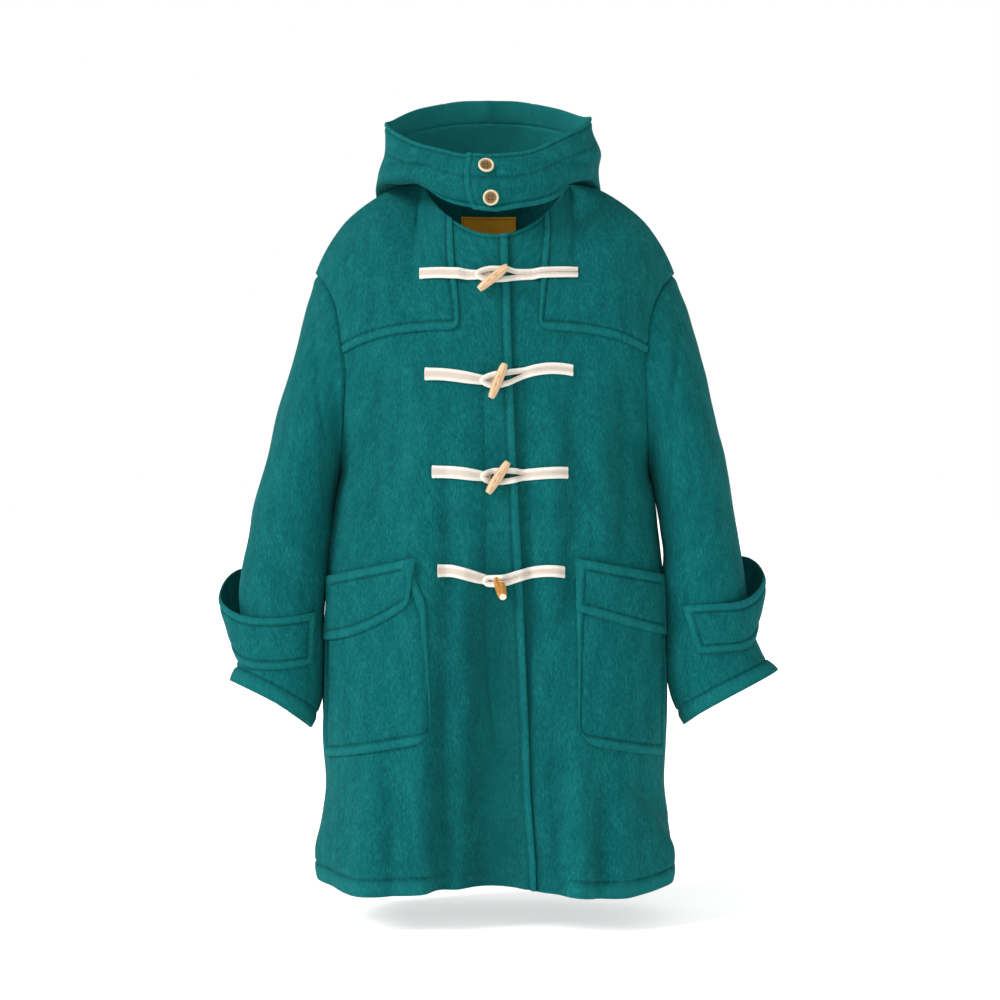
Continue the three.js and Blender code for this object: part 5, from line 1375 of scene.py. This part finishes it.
# %% Toggles
HOLE_OFF, HOLE_SIZE, HOLE_DEEP = 5.5, 1.5, 2.6
TOGGLE_SHIFT = (-3, 0, 0, 3)
TOGGLE_STEPS, CUT_END = 57, 0.484
for k in range(4):
    lean, tip = np.radians(FASTENINGS["lean"][k]), np.radians(FASTENINGS["tip"][k])
    axis = np.array([np.cos(lean), np.sin(lean) * np.sin(tip), np.sin(lean) * np.cos(tip)])
    side = unit(np.cross(axis, (0, -1, 0)))
    front = np.cross(side, axis)
    if front[1] > 0:
        side, front = -side, -front
    holes = [((0, -TOGGLE_RADII[k], off), (0, 1, 0), HOLE_SIZE, HOLE_DEEP) for off in (-HOLE_OFF, HOLE_OFF)]
    verts, faces, uv = turned(TOGGLE_PROFILE, TOGGLE_RADII[k], TOGGLE_LONG, TOGGLE_SIDES, TOGGLE_STEPS,
                              holes)
    cut_end = smooth((np.abs(verts[:, 2]) / TOGGLE_LONG - CUT_END) / 0.01)
    centre = solid_centre(f"toggle_{k + 1}")
    centre = centre + (0, -creases("front_left", centre), TOGGLE_SHIFT[k])
    verts = verts[:, :1] * side - verts[:, 1:2] * front + verts[:, 2:] * axis + centre
    piece = mesh(f"toggle_{k + 1}_wood", verts, faces, uv, cut_end)
    dress(piece, SHADED_TOGGLE_WOOD if k == 3 else WOOD, f"toggle_{k + 1}")
    print(f"{piece.name}: {TOGGLE_LONG} mm long, centre {centre.round(1)}")

# %% [markdown]
# ## Hood buttons and the neck label
#
# Two horn-like resin buttons, 20 mm across, with a cream rim and a dished brown middle, close
# the throat tab. They are turned like the toggles. The label is a bare piece of woven satin
# stitched inside the back of the neck, so it follows the back's own surface.

# %% Horn-like resin
def horn():
    """A pale rim that passes into a mottled brown middle, by the distance from the axis that
    the attribute `lip` holds."""
    made, tree, shader = material("horn_like_resin", Roughness=0.3, Specular_IOR_Level=0.5)
    coordinate = node(tree, "ShaderNodeTexCoord").outputs["Object"]
    noise = node(tree, "ShaderNodeTexNoise", {"Vector": coordinate, "Scale": 260.0, "Detail": 3.0})
    mixed = maths(tree, "MULTIPLY_ADD", noise.outputs["Fac"], 0.3, lip_shade(tree))
    colour = ramp(tree, mixed, (0.2, "#6d5124"), (0.62, "#a07c46"), (0.9, "#b9a67c"), (1.0, "#cfc6a4"))
    tree.links.new(colour, shader.inputs["Base Color"])
    return made


# %% Hood buttons
HORN = horn()
BUTTON_RADIUS, BUTTON_HIGH, BUTTON_SIDES, BUTTON_STEPS = 10, 4.5, 48, 61
BUTTON_PROFILE = table(
    "r h", (0.05, 0.0), (0.5, 0.0), (0.8, 0.02), (0.93, 0.14), (1, 0.36), (1, 0.68), (0.95, 0.9), (0.87, 1),
    (0.8, 0.95), (0.72, 0.72), (0.62, 0.62), (0.4, 0.6), (0.05, 0.6))
THREAD_HOLE_OFF, THREAD_HOLE_SIZE, THREAD_HOLE_DEEP, DISH = 2.2, 1.0, 1.8, 0.6
for k in range(2):
    centre = solid_centre(f"hood_button_{k + 1}")
    turn = np.degrees(np.arctan2(centre[0] - RIM_SHIFT, HOOD_AXIS_Y - centre[1]))
    dense = np.linspace(0, 1, 200)
    line = hood_surface(turn, dense)
    at = dense[np.argmin(np.abs(line[:, 2] - centre[2]))]
    _, normal = sampled(hood_surface, np.array([[turn]]), np.array([[at]]), hood_inside, (0.5, 0.004))
    way = normal[0, 0]
    side = unit(np.cross(way, (0, 0, 1)))
    up = np.cross(side, way)
    holes = [((a * THREAD_HOLE_OFF, b * THREAD_HOLE_OFF, BUTTON_HIGH * DISH), (0, 0, -1),
              THREAD_HOLE_SIZE, THREAD_HOLE_DEEP) for a in (1, -1) for b in (1, -1)]
    verts, faces, uv = turned(BUTTON_PROFILE, BUTTON_RADIUS, BUTTON_HIGH, BUTTON_SIDES, BUTTON_STEPS, holes)
    from_axis = np.hypot(verts[:, 0], verts[:, 1]) / BUTTON_RADIUS
    verts[:, 2] -= BUTTON_HIGH / 2
    verts = verts[:, :1] * side + verts[:, 1:2] * up + verts[:, 2:] * way + centre
    piece = mesh(f"hood_button_{k + 1}_horn", verts, faces, uv, smooth((from_axis - 0.55) / 0.3))
    dress(piece, HORN, f"hood_button_{k + 1}")
    print(f"{piece.name}: {2 * BUTTON_RADIUS} mm across, centre {centre.round(1)}")

# %% Label satin
def label_satin():
    """Fine slanting satin threads in gold, with a darker woven border by the attribute `lip`."""
    made, tree, shader = material("woven_satin_label", Roughness=0.5, Specular_IOR_Level=0.4)
    thread = stretched_noise(tree, cloth_uv(tree), 2.5 * MM, 0.4 * MM, 2.0)
    colour = ramp(tree, thread, (0.3, "#d69418"), (0.7, "#f0b430"))
    colour = blend(tree, lip_shade(tree), colour, linear("#8c5c10"))
    tree.links.new(colour, shader.inputs["Base Color"])
    return made


# %% Neck label
LABEL = dict(left=-46, right=28, top=11, bottom=37)
LABEL_THICK, LABEL_BORDER, LABEL_OFF = 1.0, 3, 0.8
x = np.linspace(LABEL["left"], LABEL["right"], 60)[None, :]
down = np.linspace(LABEL["top"], LABEL["bottom"], 24)[:, None]
place, normal = seen_from_front(back_surface, x, down, x / 28, (-10, 10), np.maximum(down + 12, 5) + 0 * x)
edge = np.minimum(
    np.minimum(run(place, 0), run(place, 0, True)), np.minimum(run(place, 1), run(place, 1, True)))
low = CLOTH + LIFT + LABEL_OFF
line = bell((edge - LABEL_BORDER) / 0.5)
piece = shell("neck_label_satin", place, -normal, low, low + LABEL_THICK - 0.25 * line, line)
declare(piece, place, label_satin(), "neck_label")

# %% [markdown]
# ## Camera, light and floor
#
# The camera looks level at the front from 3 m. The light is that of a plain studio: a soft lamp
# high on the left, a weaker and wider one in front, and a white room. The photo's paper is
# almost white with a faint shadow, so the floor glows a little of its own.

# %% Camera
CAMERA_FAR, CAMERA_X, CAMERA_Z = 3000, 6.5, -390
FRAME_SEEN = 1300
SENSOR = 36
camera_data = bpy.data.cameras.new("camera")
camera_data.sensor_width = SENSOR
camera_data.lens = SENSOR * CAMERA_FAR / FRAME_SEEN
camera = bpy.data.objects.new("camera", camera_data)
camera.location = (CAMERA_X * MM, -CAMERA_FAR * MM, CAMERA_Z * MM)
camera.rotation_euler = (np.pi / 2, 0, 0)
bpy.context.scene.collection.objects.link(camera)
bpy.context.scene.camera = camera
print("lens:", round(camera_data.lens, 1), "mm")

# %% Light
def soft_sun(name, azimuth, elevation, spread, power):
    """A lamp far away, as wide as `spread` degrees of the sky, so that the whole floor is lit
    alike. The azimuth is 0 in front of the coat and grows to the viewer's right."""
    data = bpy.data.lights.new(name, "SUN")
    data.angle, data.energy = np.radians(spread), power
    lamp = bpy.data.objects.new(name, data)
    lamp.rotation_euler = (np.radians(90 - elevation), 0, np.radians(azimuth))
    bpy.context.scene.collection.objects.link(lamp)


soft_sun("key", -60, 36, 26, 2.35)
soft_sun("front", 4, 28, 60, 0.6)

# %% Room
ROOM_LIGHT, ROOM_SEEN, FLOOR_GLOW = 0.4, 1.0, 0.6
world = bpy.data.worlds.new("studio")
bpy.context.scene.world = world
world.use_nodes = True
tree = world.node_tree
room = tree.nodes["Background"]
room.inputs["Color"].default_value = linear("#ffffff")
seen = node(tree, "ShaderNodeLightPath").outputs["Is Camera Ray"]
strength = maths(tree, "MULTIPLY_ADD", seen, ROOM_SEEN - ROOM_LIGHT, ROOM_LIGHT)
tree.links.new(strength, room.inputs["Strength"])
bpy.context.scene.view_settings.view_transform = "Standard"
print("room light:", ROOM_LIGHT)

# %% Floor
FLOOR_GAP, FLOOR_HALF = 45, 60
floor_z = cad_box[0][2] - FLOOR_GAP * MM
corners = [(x * FLOOR_HALF, y * FLOOR_HALF, floor_z) for x, y in ((-1, -1), (1, -1), (1, 1), (-1, 1))]
floor_mesh = bpy.data.meshes.new("floor")
floor_mesh.from_pydata(corners, [], [(0, 1, 2, 3)])
floor = bpy.data.objects.new("floor", floor_mesh)
bpy.context.scene.collection.objects.link(floor)
# The floor's own glow is painted light: it keeps the coat's shadow on the paper faint.
floor_finish, _, _ = material("matt_paper_floor", Base_Color=linear("#fafaf9"), Roughness=0.95,
                              Emission_Color=linear("#ffffff"), Emission_Strength=FLOOR_GLOW)
floor_mesh.materials.append(floor_finish)

# %% Sizes, and the end
print("faces:", sum(len(piece.data.polygons) for piece in pieces))
